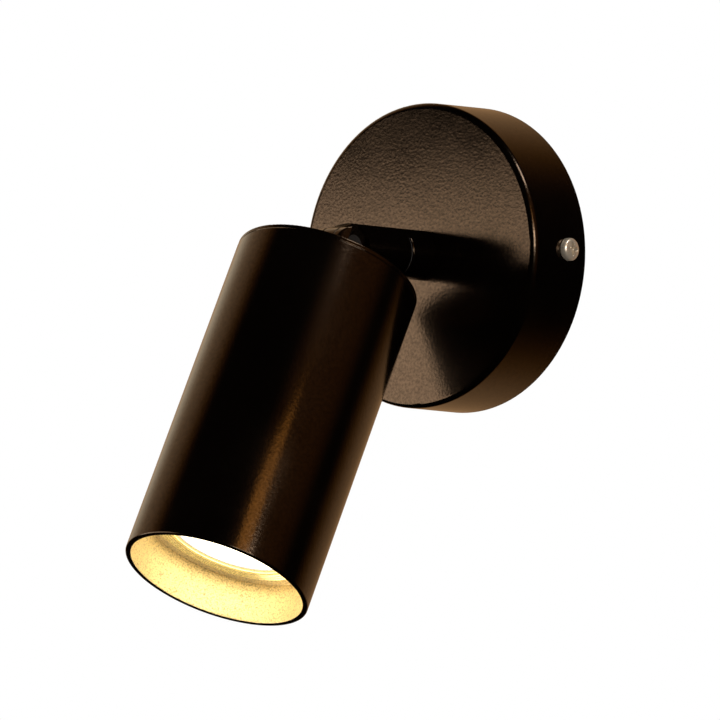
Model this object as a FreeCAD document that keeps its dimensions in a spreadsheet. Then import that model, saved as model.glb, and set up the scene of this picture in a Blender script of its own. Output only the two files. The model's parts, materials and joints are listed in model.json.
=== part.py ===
import FreeCAD, Part
import math
import os
import re
import Sketcher

# A pivoting spotlight wall light, in millimetres. The origin is the centre of the canopy's back
# rim, on the wall. +Z is up and -Y points into the room, along the arm. The arm turns about its
# own axis, and the lamp head tilts about the knuckle's screw.

SIZES = {
    # running and seating clearances
    "running_gap": 0.05,
    "face_gap": 0.05,
    "seat_gap": 0.05,
    # how far a cut runs past the face it starts from
    "cut_overrun": 1.0,
    # canopy, a deep-drawn cup that covers the wall box
    "canopy_radius": 50.0,
    "canopy_draft": 0.4,
    "canopy_depth": 25.0,
    "canopy_wall": 1.2,
    "canopy_rounding": 2.0,
    "canopy_inner_rounding": 0.8,
    # screws at the canopy's sides
    "side_screw_level": 8.7,
    "side_screw_radius": 2.0,
    "side_head_radius": 3.7,
    "side_head_height": 2.4,
    "side_head_rounding": 1.1,
    "side_screw_length": 9.0,
    "side_hole_gap": 0.3,
    "recess_width": 1.1,
    "recess_span": 4.2,
    "recess_depth": 1.4,
    # bracket on the wall
    "strap_thickness": 1.8,
    "strap_width": 16.0,
    "strap_end_gap": 1.2,
    "strap_bend": 1.5,
    "ear_height": 14.0,
    "ear_corner": 3.0,
    "slot_spacing": 62.0,
    "slot_length": 12.0,
    "slot_width": 4.8,
    # terminal block and earth screw, on the bracket
    "block_length": 20.0,
    "block_width": 15.0,
    "block_height": 8.0,
    "block_centre": 12.0,
    "pole_height": 4.0,
    "pole_width": 7.0,
    "pole_pitch": 10.0,
    "clamp_offset": 4.2,
    "clamp_screw_radius": 1.5,
    "clamp_screw_depth": 3.0,
    "clamp_slot_width": 0.55,
    "clamp_slot_depth": 1.0,
    "clamp_well_radius": 2.0,
    "wire_hole_radius": 1.3,
    "block_screw_radius": 1.25,
    "block_head_radius": 1.6,
    "block_head_height": 1.4,
    "earth_centre": 16.0,
    "earth_screw_radius": 2.0,
    "earth_head_radius": 3.6,
    "earth_head_height": 2.4,
    "earth_washer_radius": 4.4,
    "earth_washer_thickness": 0.8,
    # hollow threaded stem and what it clamps
    "stem_radius": 4.0,
    "stem_bore": 2.75,
    "stem_tail": 2.0,
    "stem_nut_flats": 13.0,
    "stem_nut_thickness": 3.0,
    "lock_washer_radius": 7.5,
    "lock_washer_thickness": 0.8,
    "lock_tooth_depth": 1.1,
    "lock_notch_floor": 0.55,
    "lock_notch_mouth": 1.65,
    "collar_length": 11.0,
    # swivel between collar and arm
    "seam_washer_inset": 0.5,
    "seam_washer_thickness": 0.5,
    "stop_pin_radius": 0.75,
    "stop_pin_seat": 3.0,
    "stop_pin_reach": 1.5,
    "stop_groove_gap": 0.2,
    "stop_lug_angle": 15.0,
    "spring_washer_gap": 0.3,
    "spring_washer_thickness": 0.5,
    "spring_washer_height": 1.1,
    "swivel_nut_gap": 0.3,
    "swivel_nut_thickness": 3.0,
    "swivel_nut_slot": 1.6,
    # arm
    "arm_radius": 8.1,
    "arm_wall": 1.5,
    "arm_floor": 3.0,
    "arm_edge": 0.4,
    "joint_setback": 12.0,
    "spigot_length": 4.5,
    "spigot_wall": 0.8,
    # knuckle
    "pivot_reach": 63.9,
    "eye_radius": 6.3,
    "shoulder_gap": 0.5,
    "bevel_start": 5.4,
    "knuckle_rounding": 0.4,
    "tongue_thickness": 6.0,
    "lead_bore": 2.4,
    "channel_width": 3.0,
    "channel_height": 8.4,
    "friction_washer_radius": 5.6,
    "friction_washer_thickness": 0.4,
    "cheek_thickness": 3.85,
    "pivot_screw_radius": 2.0,
    "pivot_head_radius": 3.6,
    "pivot_head_height": 1.9,
    "pivot_nut_flats": 7.0,
    "pivot_nut_thickness": 2.2,
    "hex_key_flats": 2.5,
    "hex_key_depth": 1.2,
    "pivot_to_cap": 9.6,
    "clevis_flange": 1.0,
    "clevis_rounding": 0.4,
    # head
    "head_tilt": 27.54,
    "head_radius": 30.0,
    "head_wall": 1.8,
    "head_length": 112.0,
    "mouth_rounding": 0.4,
    "cap_thickness": 1.5,
    "cap_rounding": 0.5,
    "seam_rounding": 0.25,
    "cap_skirt": 6.0,
    "cap_skirt_wall": 1.6,
    "clevis_nut_flats": 13.0,
    "clevis_nut_thickness": 4.0,
    "clevis_washer_radius": 7.5,
    "clevis_washer_thickness": 0.8,
    "clevis_screw_tail": 1.0,
    # holder and its bracket
    "holder_strip": 1.2,
    "holder_strip_width": 15.0,
    "holder_strip_half": 11.0,
    "holder_foot": 9.0,
    "holder_height": 22.0,
    "holder_half_length": 19.0,
    "holder_half_width": 11.0,
    "holder_corner": 6.0,
    "holder_ledge": 6.0,
    "holder_tower_inset": 1.0,
    "holder_tower_gap": 2.2,
    "holder_screw_place": 16.2,
    "holder_screw_radius": 1.5,
    "holder_head_radius": 2.6,
    "holder_head_height": 2.0,
    "holder_nut_flats": 5.5,
    "holder_nut_thickness": 2.4,
    # lamp, a 50 mm reflector lamp on two pins
    "lamp_setback": 13.5,
    "lamp_radius": 25.0,
    "lamp_length": 47.0,
    "lamp_rim_depth": 5.0,
    "lamp_rim_inside": 20.4,
    "lamp_wall": 1.4,
    "lamp_neck_radius": 15.5,
    "lamp_base_radius": 12.5,
    "lamp_base_length": 14.0,
    "lens_gap": 0.15,
    "lens_thickness": 1.6,
    "lens_recess": 0.6,
    "led_board_thickness": 1.6,
    "led_board_depth": 9.0,
    "pin_spacing": 10.0,
    "pin_radius": 1.5,
    "pin_head_radius": 2.5,
    "pin_head_height": 2.5,
    "pin_length": 7.0,
    "pin_socket_gap": 0.3,
    # ring round the lamp
    "ring_thickness": 1.0,
    "ring_skirt": 8.0,
    "ring_skirt_wall": 0.8,
    # leads
    "sleeve_radius": 2.2,
    "sleeve_break": 0.4,
    "sleeve_end": 2.0,
    "lead_radius": 0.9,
    "lead_spread": 1.1,
}

# Distances out from the wall along the arm, each from the one behind it.
CANOPY_INSIDE = "(canopy_depth - canopy_wall)"
LOCK_WASHER_BACK = f"({CANOPY_INSIDE} - lock_washer_thickness)"
STEM_NUT_BACK = f"({LOCK_WASHER_BACK} - stem_nut_thickness)"
STEM_BACK = f"({STEM_NUT_BACK} - stem_tail)"
COLLAR_FRONT = "(canopy_depth + collar_length)"
SEAM_FRONT = f"({COLLAR_FRONT} + seam_washer_thickness)"
ARM_BACK = f"({SEAM_FRONT} + face_gap)"
ARM_BACK_STACK = ("canopy_depth", "collar_length", "seam_washer_thickness", "face_gap")
FLOOR_FRONT = f"({ARM_BACK} + arm_floor)"
SWIVEL_NUT_BACK = f"({FLOOR_FRONT} + spring_washer_height + face_gap)"
SWIVEL_NUT_FRONT = f"({SWIVEL_NUT_BACK} + swivel_nut_thickness)"
STEM_FRONT = f"({SWIVEL_NUT_FRONT} + stem_tail / 2)"
TUBE_FRONT = "(pivot_reach - joint_setback)"
SPIGOT_BACK = f"({TUBE_FRONT} - spigot_length)"
SHOULDER = "(pivot_reach - eye_radius - shoulder_gap)"

# Distances into the head, along its axis from the cap's outer face.
CAP_INSIDE = "cap_thickness"
STRIP_FRONT = f"({CAP_INSIDE} + holder_strip)"
CLEVIS_WASHER_FRONT = f"({STRIP_FRONT} + clevis_washer_thickness)"
CLEVIS_NUT_FRONT = f"({CLEVIS_WASHER_FRONT} + clevis_nut_thickness)"
LAMP_FRONT = "(head_length - lamp_setback)"
LAMP_SEAT = f"({LAMP_FRONT} - lamp_length)"
HOLDER_FRONT = f"({LAMP_SEAT} - face_gap)"
HOLDER_BACK = f"({HOLDER_FRONT} - holder_height)"
FOOT_BACK = f"({HOLDER_BACK} - holder_strip)"
LEDGE_FRONT = f"({HOLDER_BACK} + holder_ledge)"
BASE_FRONT = f"({LAMP_SEAT} + lamp_base_length)"
RIM_BACK = f"({LAMP_FRONT} - lamp_rim_depth)"

# Half sizes across the knuckle.
TONGUE_HALF = "(tongue_thickness / 2)"
CHEEK_INSIDE = f"({TONGUE_HALF} + friction_washer_thickness + face_gap)"
CHEEK_OUTSIDE = f"({CHEEK_INSIDE} + cheek_thickness)"

# Radii of what sits in the arm, each from the one round it.
ARM_BORE = "(arm_radius - arm_wall)"
SPIGOT_RADIUS = f"({ARM_BORE} - seat_gap)"
SPIGOT_BORE = f"({SPIGOT_RADIUS} - spigot_wall)"
SPRING_WASHER_RADIUS = f"({ARM_BORE} - spring_washer_gap)"
SWIVEL_NUT_RADIUS = f"({SPIGOT_BORE} - swivel_nut_gap)"
STOP_CIRCLE = "((stem_radius + arm_radius) / 2)"

HEAD_BORE = "(head_radius - head_wall)"
LOCK_TEETH = 12
SHEET_NAME = "Sizes"
GUESS_RADIUS = 10.0  # a sketch's corners start on this circle, and its constraints move them
SAME_PLACE = 1e-3  # levels and radii nearer than this are the same
SAME_VOLUME = 1e-4  # a feature that changes a volume by less has done nothing
PARALLEL = 0.999  # least cosine of the angle between parallel edges

document = FreeCAD.newDocument("PivotingSpotlight")
parts = []


def sized(text):
    """Name the sheet before each size in an expression: every size's name has an underscore."""
    return re.sub(r"[a-z]+(?:_[a-z]+)+", SHEET_NAME + r".\g<0>", text)


def bind(thing, path, text):
    thing.setExpression(path, sized(text))


def make_sheet():
    sheet = document.addObject("Spreadsheet::Sheet", SHEET_NAME)
    for row, (name, value) in enumerate(SIZES.items(), start=1):
        sheet.set(f"A{row}", name)
        sheet.set(f"B{row}", str(value))
        sheet.setAlias(f"B{row}", name)
    document.recompute()


# Each sub-part is modelled in one of these local frames. In all of them X is the part's own X.
# wall:  Z points out of the wall along the arm, and Y is up
# head:  Z points along the head to its mouth, from the cap's outer face
# pivot: turned like the head, with its origin on the knuckle's screw
# side:  unturned, with its origin level with the canopy's side screws
def place_on_wall(thing):
    thing.Placement.Rotation = FreeCAD.Rotation(FreeCAD.Vector(1, 0, 0), 90)


def place_on_head(thing):
    place_at_pivot(thing)
    bind(thing, "Placement.Base.y", "-pivot_reach - pivot_to_cap * sin(head_tilt)")
    bind(thing, "Placement.Base.z", "-pivot_to_cap * cos(head_tilt)")


def place_at_pivot(thing):
    thing.Placement.Rotation = FreeCAD.Rotation(FreeCAD.Vector(1, 0, 0), 90)
    bind(thing, "Placement.Rotation.Angle", "180 - head_tilt")
    bind(thing, "Placement.Base.y", "-pivot_reach")


def place_at_side_screw(thing):
    bind(thing, "Placement.Base.y", "-side_screw_level")


def keep(thing, label):
    """Call a finished sub-part by its node's name and list it for writing."""
    thing.Label = label
    parts.append(thing)
    return thing


def new_body(place, name):
    body = document.addObject("PartDesign::Body", name)
    place(body)
    return body


def new_sketch(body, plane, offset="0"):
    """A sketch on one of the body's own planes, or offset from it along the plane's normal."""
    sketch = body.newObject("Sketcher::SketchObject", "Sketch")
    support = [f for f in body.Origin.OriginFeatures if f.Role == plane + "_Plane"]
    sketch.AttachmentSupport = [(support[0], "")]
    sketch.MapMode = "FlatFace"
    bind(sketch, "AttachmentOffset.Base.z", offset)
    return sketch


def pin_point(sketch, element, point, across, up):
    """Hold a point of the sketch at expressions measured from the sketch's origin."""
    for kind, text in (("DistanceX", across), ("DistanceY", up)):
        index = sketch.addConstraint(Sketcher.Constraint(kind, -1, 1, element, point, 1.0))
        bind(sketch, f"Constraints[{index}]", text)


def add_polygon(sketch, corners):
    """A closed outline of straight lines, whose corners are pairs of expressions."""
    first = sketch.GeometryCount
    count = len(corners)
    turns = [2 * math.pi * step / count for step in range(count + 1)]
    guesses = [FreeCAD.Vector(math.cos(a), math.sin(a), 0) * GUESS_RADIUS for a in turns]
    for start, end in zip(guesses, guesses[1:]):
        sketch.addGeometry(Part.LineSegment(start, end))
    for step in range(count):
        following = first + (step + 1) % count
        sketch.addConstraint(Sketcher.Constraint("Coincident", first + step, 2, following, 1))
    for step, (across, up) in enumerate(corners):
        pin_point(sketch, first + step, 1, across, up)


def add_rectangle(sketch, left, low, right, high):
    add_polygon(sketch, [(left, low), (right, low), (right, high), (left, high)])


def add_circle(sketch, across, up, radius):
    centre = FreeCAD.Vector(GUESS_RADIUS, GUESS_RADIUS, 0)
    element = sketch.addGeometry(Part.Circle(centre, FreeCAD.Vector(0, 0, 1), 1.0))
    index = sketch.addConstraint(Sketcher.Constraint("Radius", element, 1.0))
    bind(sketch, f"Constraints[{index}]", radius)
    pin_point(sketch, element, 3, across, up)


def add_hexagon(sketch, flats, across="0", up="0"):
    """A regular hexagon by its width across flats, with two corners level with its centre."""
    corners = []
    for step in range(6):
        reach = f"({flats}) / sqrt(3)"
        corners.append(
            (
                f"{across} + {reach} * cos({60 * step})",
                f"{up} + {reach} * sin({60 * step})",
            )
        )
    add_polygon(sketch, corners)


def finish_feature(body, feature):
    """Recompute, and stop if a feature failed or left the body's volume as it was."""
    before = 0.0 if body.Shape.isNull() else body.Shape.Volume
    document.recompute()
    if body.Shape.isNull() or abs(body.Shape.Volume - before) < SAME_VOLUME:
        raise RuntimeError(f"{body.Name}: {feature.Name} changed nothing")
    return feature


def revolve(body, sketch, kind="Revolution", axis="V_Axis"):
    feature = body.newObject("PartDesign::" + kind, kind)
    feature.Profile = sketch
    feature.ReferenceAxis = (sketch, [axis])
    feature.Angle = 360
    return finish_feature(body, feature)


def pad(body, sketch, length, middle=False):
    feature = body.newObject("PartDesign::Pad", "Pad")
    feature.Profile = sketch
    feature.Midplane = middle
    bind(feature, "Length", length)
    return finish_feature(body, feature)


def pocket(body, sketch, length, middle=False, reverse=False):
    feature = body.newObject("PartDesign::Pocket", "Pocket")
    feature.Profile = sketch
    feature.Midplane = middle
    feature.Reversed = reverse
    bind(feature, "Length", length)
    return finish_feature(body, feature)


def dress(body, kind, path, size, chosen):
    """Round or bevel the edges of the body's last shape that the function chosen picks out."""
    base = body.Tip
    edges = [f"Edge{n}" for n, edge in enumerate(base.Shape.Edges, start=1) if chosen(edge)]
    if not edges:
        raise RuntimeError(f"{body.Name}: no edge to dress")
    feature = body.newObject("PartDesign::" + kind, kind)
    feature.Base = (base, edges)
    bind(feature, path, size)
    return finish_feature(body, feature)


def circle_at(height, radius):
    """Picks a round edge by its level along the local Z axis and its radius, both as numbers."""

    def chosen(edge):
        curve = edge.Curve
        if not isinstance(curve, Part.Circle):
            return False
        level = math.isclose(curve.Center.z, height, abs_tol=SAME_PLACE)
        return level and math.isclose(curve.Radius, radius, abs_tol=SAME_PLACE)

    return chosen


def turned(place, name, corners, axis="V_Axis"):
    """A piece turned about its Z axis from corners (radius, level), or about X for H_Axis."""
    body = new_body(place, name)
    sketch = new_sketch(body, "XZ" if axis == "V_Axis" else "XY")
    add_polygon(sketch, corners)
    revolve(body, sketch, axis=axis)
    return body


def tube(place, name, inner, outer, back, front):
    corners = [(inner, back), (outer, back), (outer, front), (inner, front)]
    return turned(place, name, corners)


def cross_tube(place, name, inner, outer, left, right):
    """A tube along the local X axis."""
    corners = [(left, inner), (right, inner), (right, outer), (left, outer)]
    return turned(place, name, corners, "H_Axis")


def prism(place, name, back, length, draw):
    """A straight prism along local Z from the outline that the function draw adds."""
    body = new_body(place, name)
    sketch = new_sketch(body, "XY", back)
    draw(sketch)
    pad(body, sketch, length)
    return body


def nut(place, name, flats, bore, back, thickness, across="0"):
    def draw(sketch):
        add_hexagon(sketch, flats, across)
        add_circle(sketch, across, "0", bore)

    return prism(place, name, back, thickness, draw)


def add_disc(body, across, up, radius, back, length):
    sketch = new_sketch(body, "XY", back)
    add_circle(sketch, across, up, radius)
    return pad(body, sketch, length)


def drill(body, across, up, radius, front, depth):
    """A round hole from the level front, back towards lower levels."""
    sketch = new_sketch(body, "XY", front)
    add_circle(sketch, across, up, radius)
    return pocket(body, sketch, depth)


def slot_across(body, axis, width, front, depth):
    """A straight slot right across a round head, along local X or Y."""
    sketch = new_sketch(body, "XY", front)
    long_half = "canopy_radius"
    half = f"({width}) / 2"
    if axis == "X":
        add_rectangle(sketch, f"-{long_half}", f"-{half}", long_half, half)
    else:
        add_rectangle(sketch, f"-{half}", f"-{long_half}", half, long_half)
    return pocket(body, sketch, depth)


def mirrored_pair(body, label):
    """The body and its mirror image across the part's middle plane, as one node."""
    mirror = document.addObject("Part::Mirroring", body.Name + "_mirror")
    mirror.Source = body
    mirror.Normal = (1, 0, 0)
    group = document.addObject("Part::Compound", body.Name + "_pair")
    group.Links = [body, mirror]
    return keep(group, label)


def group_of(bodies, label):
    group = document.addObject("Part::Compound", label + "_group")
    group.Links = bodies
    return keep(group, label)


# ---- canopy, bracket and what they carry


def make_canopy():
    front_radius = "(canopy_radius - canopy_draft)"
    body = turned(
        place_on_wall,
        "Canopy",
        [
            ("canopy_radius - canopy_wall", "0"),
            ("canopy_radius", "0"),
            (front_radius, "canopy_depth"),
            ("stem_radius + seat_gap", "canopy_depth"),
            ("stem_radius + seat_gap", CANOPY_INSIDE),
            (f"{front_radius} - canopy_wall", CANOPY_INSIDE),
        ],
    )
    depth = SIZES["canopy_depth"]
    front = SIZES["canopy_radius"] - SIZES["canopy_draft"]
    wall = SIZES["canopy_wall"]
    dress(body, "Fillet", "Radius", "canopy_rounding", circle_at(depth, front))
    inner_edge = circle_at(depth - wall, front - wall)
    dress(body, "Fillet", "Radius", "canopy_inner_rounding", inner_edge)
    sketch = new_sketch(body, "YZ")
    add_circle(sketch, "0", "side_screw_level", "side_screw_radius + side_hole_gap")
    pocket(body, sketch, "2 * (canopy_radius + cut_overrun)", middle=True)
    keep(body, "canopy")


def make_wall_bracket():
    """A strap across the wall box, whose bent-up ears take the canopy's side screws."""
    end = "(canopy_radius - canopy_wall - strap_end_gap)"
    inside = f"({end} - strap_thickness)"
    body = new_body(place_on_wall, "WallBracket")
    sketch = new_sketch(body, "XZ")
    add_polygon(
        sketch,
        [
            (f"-{end}", "0"),
            (end, "0"),
            (end, "ear_height"),
            (inside, "ear_height"),
            (inside, "strap_thickness"),
            (f"-{inside}", "strap_thickness"),
            (f"-{inside}", "ear_height"),
            (f"-{end}", "ear_height"),
        ],
    )
    pad(body, sketch, "strap_width", middle=True)
    reach = SIZES["canopy_radius"] - SIZES["canopy_wall"] - SIZES["strap_end_gap"]
    thickness = SIZES["strap_thickness"]
    ear_top = edge_along_x(SIZES["ear_height"], SIZES["strap_width"] / 2)
    dress(body, "Fillet", "Radius", "ear_corner", ear_top)
    outer = edge_along_y(reach, 0.0)
    inner = edge_along_y(reach - thickness, thickness)
    dress(body, "Fillet", "Radius", "strap_bend + strap_thickness", outer)
    dress(body, "Fillet", "Radius", "strap_bend", inner)
    through = "2 * strap_thickness"
    for side in ("-", ""):
        centre = f"{side}slot_spacing / 2"
        cut_slot(body, centre, "slot_length", "slot_width", "strap_thickness", through)
    sketch = new_sketch(body, "YZ")
    add_circle(sketch, "0", "side_screw_level", "side_screw_radius + seat_gap")
    pocket(body, sketch, "2 * canopy_radius", middle=True)
    earth_hole = "earth_screw_radius + seat_gap"
    drill(body, "earth_centre", "0", earth_hole, "strap_thickness", through)
    block_hole = "block_screw_radius + seat_gap"
    drill(body, "-block_centre", "0", block_hole, "strap_thickness", through)
    keep(body, "wall_bracket")


def edge_along_y(across, level):
    """Picks the straight edges along local Y at plus and minus across, at one level."""

    def chosen(edge):
        if not isinstance(edge.Curve, Part.Line):
            return False
        middle = edge.CenterOfMass
        along = abs(edge.Curve.Direction.y) > PARALLEL
        level_fits = math.isclose(middle.z, level, abs_tol=SAME_PLACE)
        return along and level_fits and math.isclose(abs(middle.x), across, abs_tol=SAME_PLACE)

    return chosen


def edge_along_x(level, up):
    """Picks the short straight edges along local X at one level, at plus and minus up."""

    def chosen(edge):
        if not isinstance(edge.Curve, Part.Line):
            return False
        middle = edge.CenterOfMass
        along = abs(edge.Curve.Direction.x) > PARALLEL
        level_fits = math.isclose(middle.z, level, abs_tol=SAME_PLACE)
        return along and level_fits and math.isclose(abs(middle.y), up, abs_tol=SAME_PLACE)

    return chosen


def cut_slot(body, centre, length, width, front, depth):
    """A slot along local X with round ends: a straight cut between two drilled holes."""
    half = f"(({length}) - ({width})) / 2"
    for side in ("-", "+"):
        drill(body, f"{centre} {side} {half}", "0", f"({width}) / 2", front, depth)
    sketch = new_sketch(body, "XY", front)
    low = f"-({width}) / 2"
    add_rectangle(sketch, f"{centre} - {half}", low, f"{centre} + {half}", f"({width}) / 2")
    pocket(body, sketch, depth)


def make_side_screws():
    """Pan-head cross-recess screws, one at each side, through the canopy into the ears."""
    body = turned(
        place_at_side_screw,
        "SideScrew",
        [
            ("canopy_radius - side_screw_length", "0"),
            ("canopy_radius + side_head_height", "0"),
            ("canopy_radius + side_head_height", "side_head_radius"),
            ("canopy_radius", "side_head_radius"),
            ("canopy_radius", "side_screw_radius"),
            ("canopy_radius - side_screw_length", "side_screw_radius"),
        ],
        "H_Axis",
    )
    top = SIZES["canopy_radius"] + SIZES["side_head_height"]
    wide = SIZES["side_head_radius"]
    dress(body, "Fillet", "Radius", "side_head_rounding", ring_at_x(top, wide))
    for tall in (False, True):
        sketch = new_sketch(body, "YZ", "canopy_radius + side_head_height")
        across, up = ("recess_width", "recess_span")
        if not tall:
            across, up = up, across
        add_rectangle(sketch, f"-{across} / 2", f"-{up} / 2", f"{across} / 2", f"{up} / 2")
        pocket(body, sketch, "recess_depth")
    mirrored_pair(body, "canopy_screws")


def ring_at_x(across, radius):
    def chosen(edge):
        curve = edge.Curve
        if not isinstance(curve, Part.Circle):
            return False
        level = math.isclose(curve.Center.x, across, abs_tol=SAME_PLACE)
        return level and math.isclose(curve.Radius, radius, abs_tol=SAME_PLACE)

    return chosen


def make_terminal_block():
    """A two-pole block: a flat base with a raised rib for each pole, wells and wire holes."""
    body = new_body(place_on_wall, "TerminalBlock")
    sketch = new_sketch(body, "XY", "strap_thickness")
    half = "block_length / 2"
    add_rectangle(
        sketch,
        f"-block_centre - {half}",
        "-block_width / 2",
        f"-block_centre + {half}",
        "block_width / 2",
    )
    pad(body, sketch, "block_height")
    top = "(strap_thickness + block_height)"
    for side in ("-", "+"):
        centre = f"(-block_centre {side} pole_pitch / 2)"
        sketch = new_sketch(body, "XY", top)
        add_rectangle(
            sketch,
            f"{centre} - pole_width / 2",
            "-block_width / 2",
            f"{centre} + pole_width / 2",
            "block_width / 2",
        )
        pad(body, sketch, "pole_height")
    for across, up in clamp_places():
        rib_top = f"{top} + pole_height"
        depth = "pole_height + clamp_screw_depth"
        drill(body, across, up, "clamp_well_radius", rib_top, depth)
    for side in ("-", "+"):
        sketch = new_sketch(body, "XZ")
        centre = f"(-block_centre {side} pole_pitch / 2)"
        add_circle(sketch, centre, f"{top} - block_height / 2", "wire_hole_radius")
        pocket(body, sketch, "2 * block_width", middle=True)
    well = "block_head_radius + seat_gap"
    block_hole = "block_screw_radius + seat_gap"
    drill(body, "-block_centre", "0", well, top, "block_head_height")
    drill(body, "-block_centre", "0", block_hole, top, "block_height + cut_overrun")
    keep(body, "terminal_block")


def clamp_places():
    """Where the clamping screws stand: one at each end of each pole."""
    places = []
    for side in ("-", "+"):
        for end in ("-", ""):
            places.append((f"(-block_centre {side} pole_pitch / 2)", f"{end}clamp_offset"))
    return places


def make_terminal_screws():
    floor = "(strap_thickness + block_height - clamp_screw_depth)"
    screws = []
    for across, up in clamp_places():
        body = new_body(place_on_wall, "ClampScrew")
        add_disc(body, across, up, "clamp_screw_radius", floor, "clamp_screw_depth")
        sketch = new_sketch(body, "XY", f"{floor} + clamp_screw_depth")
        half = "clamp_slot_width / 2"
        add_rectangle(
            sketch,
            f"{across} - clamp_well_radius",
            f"{up} - {half}",
            f"{across} + clamp_well_radius",
            f"{up} + {half}",
        )
        pocket(body, sketch, "clamp_slot_depth")
        screws.append(body)
    group_of(screws, "terminal_screws")


def make_block_screw():
    top = "(strap_thickness + block_height)"
    body = new_body(place_on_wall, "BlockScrew")
    under = f"({top} - block_head_height)"
    add_disc(body, "-block_centre", "0", "block_screw_radius", "0", under)
    add_disc(body, "-block_centre", "0", "block_head_radius", under, "block_head_height")
    keep(body, "block_screw")


def make_earth_screw():
    body = new_body(place_on_wall, "EarthScrew")
    under = "(strap_thickness + earth_washer_thickness)"
    add_disc(body, "earth_centre", "0", "earth_screw_radius", "0", under)
    add_disc(body, "earth_centre", "0", "earth_head_radius", under, "earth_head_height")
    sketch = new_sketch(body, "XY", f"{under} + earth_head_height")
    add_rectangle(
        sketch,
        "earth_centre - earth_head_radius",
        "-recess_width / 2",
        "earth_centre + earth_head_radius",
        "recess_width / 2",
    )
    pocket(body, sketch, "earth_head_height / 2")
    keep(body, "earth_screw")


def make_earth_washer():
    def draw(sketch):
        add_circle(sketch, "earth_centre", "0", "earth_washer_radius")
        add_circle(sketch, "earth_centre", "0", "earth_screw_radius + seat_gap")

    body = prism(
        place_on_wall, "EarthWasher", "strap_thickness", "earth_washer_thickness", draw
    )
    keep(body, "earth_washer")


# ---- stem, collar and swivel


def make_stem():
    body = tube(place_on_wall, "Stem", "stem_bore", "stem_radius", STEM_BACK, STEM_FRONT)
    keep(body, "hollow_stem")
    bore = "stem_radius + seat_gap"
    body = nut(
        place_on_wall, "StemNut", "stem_nut_flats", bore, STEM_NUT_BACK, "stem_nut_thickness"
    )
    keep(body, "stem_nut")


def make_lock_washer():
    """A toothed washer: a ring with notches cut all round its rim."""
    body = tube(
        place_on_wall,
        "LockWasher",
        "stem_radius + seat_gap",
        "lock_washer_radius",
        LOCK_WASHER_BACK,
        CANOPY_INSIDE,
    )
    sketch = new_sketch(body, "XY", CANOPY_INSIDE)
    floor = "lock_washer_radius - lock_tooth_depth"
    mouth = "lock_washer_radius + cut_overrun"
    add_polygon(
        sketch,
        [
            (floor, "-lock_notch_floor / 2"),
            (mouth, "-lock_notch_mouth / 2"),
            (mouth, "lock_notch_mouth / 2"),
            (floor, "lock_notch_floor / 2"),
        ],
    )
    cut = pocket(body, sketch, "lock_washer_thickness")
    pattern = body.newObject("PartDesign::PolarPattern", "Teeth")
    pattern.Originals = [cut]
    pattern.Axis = (sketch, ["N_Axis"])
    pattern.Angle = 360
    pattern.Occurrences = LOCK_TEETH
    body.Tip = pattern
    finish_feature(body, pattern)
    keep(body, "lock_washer")


def make_collar():
    """The fixed sleeve at the foot of the arm, drilled for the swivel's stop pin."""
    body = turned(
        place_on_wall,
        "Collar",
        [
            ("stem_radius + seat_gap", "canopy_depth"),
            ("arm_radius", "canopy_depth"),
            ("arm_radius", COLLAR_FRONT),
            ("stem_radius + seat_gap", COLLAR_FRONT),
        ],
    )
    front = SIZES["canopy_depth"] + SIZES["collar_length"]
    dress(body, "Fillet", "Radius", "arm_edge", circle_at(front, SIZES["arm_radius"]))
    drill(body, "0", STOP_CIRCLE, "stop_pin_radius", COLLAR_FRONT, "stop_pin_seat")
    keep(body, "stem_collar")


def make_seam_washer():
    body = tube(
        place_on_wall,
        "SeamWasher",
        "stem_radius + seat_gap",
        "arm_radius - seam_washer_inset",
        COLLAR_FRONT,
        SEAM_FRONT,
    )
    depth = "2 * seam_washer_thickness"
    drill(body, "0", STOP_CIRCLE, "stop_pin_radius + seat_gap", SEAM_FRONT, depth)
    keep(body, "seam_washer")


def make_stop_pin():
    body = new_body(place_on_wall, "StopPin")
    back = f"{COLLAR_FRONT} - stop_pin_seat"
    length = "stop_pin_seat + seam_washer_thickness + face_gap + stop_pin_reach"
    add_disc(body, "0", STOP_CIRCLE, "stop_pin_radius", back, length)
    keep(body, "stop_pin")


def make_swivel_hardware():
    """A dished spring washer under a round nut, which hold the arm against the collar."""
    bore = "stem_radius + seat_gap"
    body = turned(
        place_on_wall,
        "SpringWasher",
        [
            (bore, f"{FLOOR_FRONT} + spring_washer_height - spring_washer_thickness"),
            (SPRING_WASHER_RADIUS, FLOOR_FRONT),
            (SPRING_WASHER_RADIUS, f"{FLOOR_FRONT} + spring_washer_thickness"),
            (bore, f"{FLOOR_FRONT} + spring_washer_height"),
        ],
    )
    keep(body, "spring_washer")
    body = tube(
        place_on_wall,
        "SwivelNut",
        bore,
        SWIVEL_NUT_RADIUS,
        SWIVEL_NUT_BACK,
        SWIVEL_NUT_FRONT,
    )
    depth = "swivel_nut_thickness / 2"
    slot_across(body, "X", "swivel_nut_slot", SWIVEL_NUT_FRONT, depth)
    keep(body, "swivel_nut")


# ---- arm and knuckle


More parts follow.
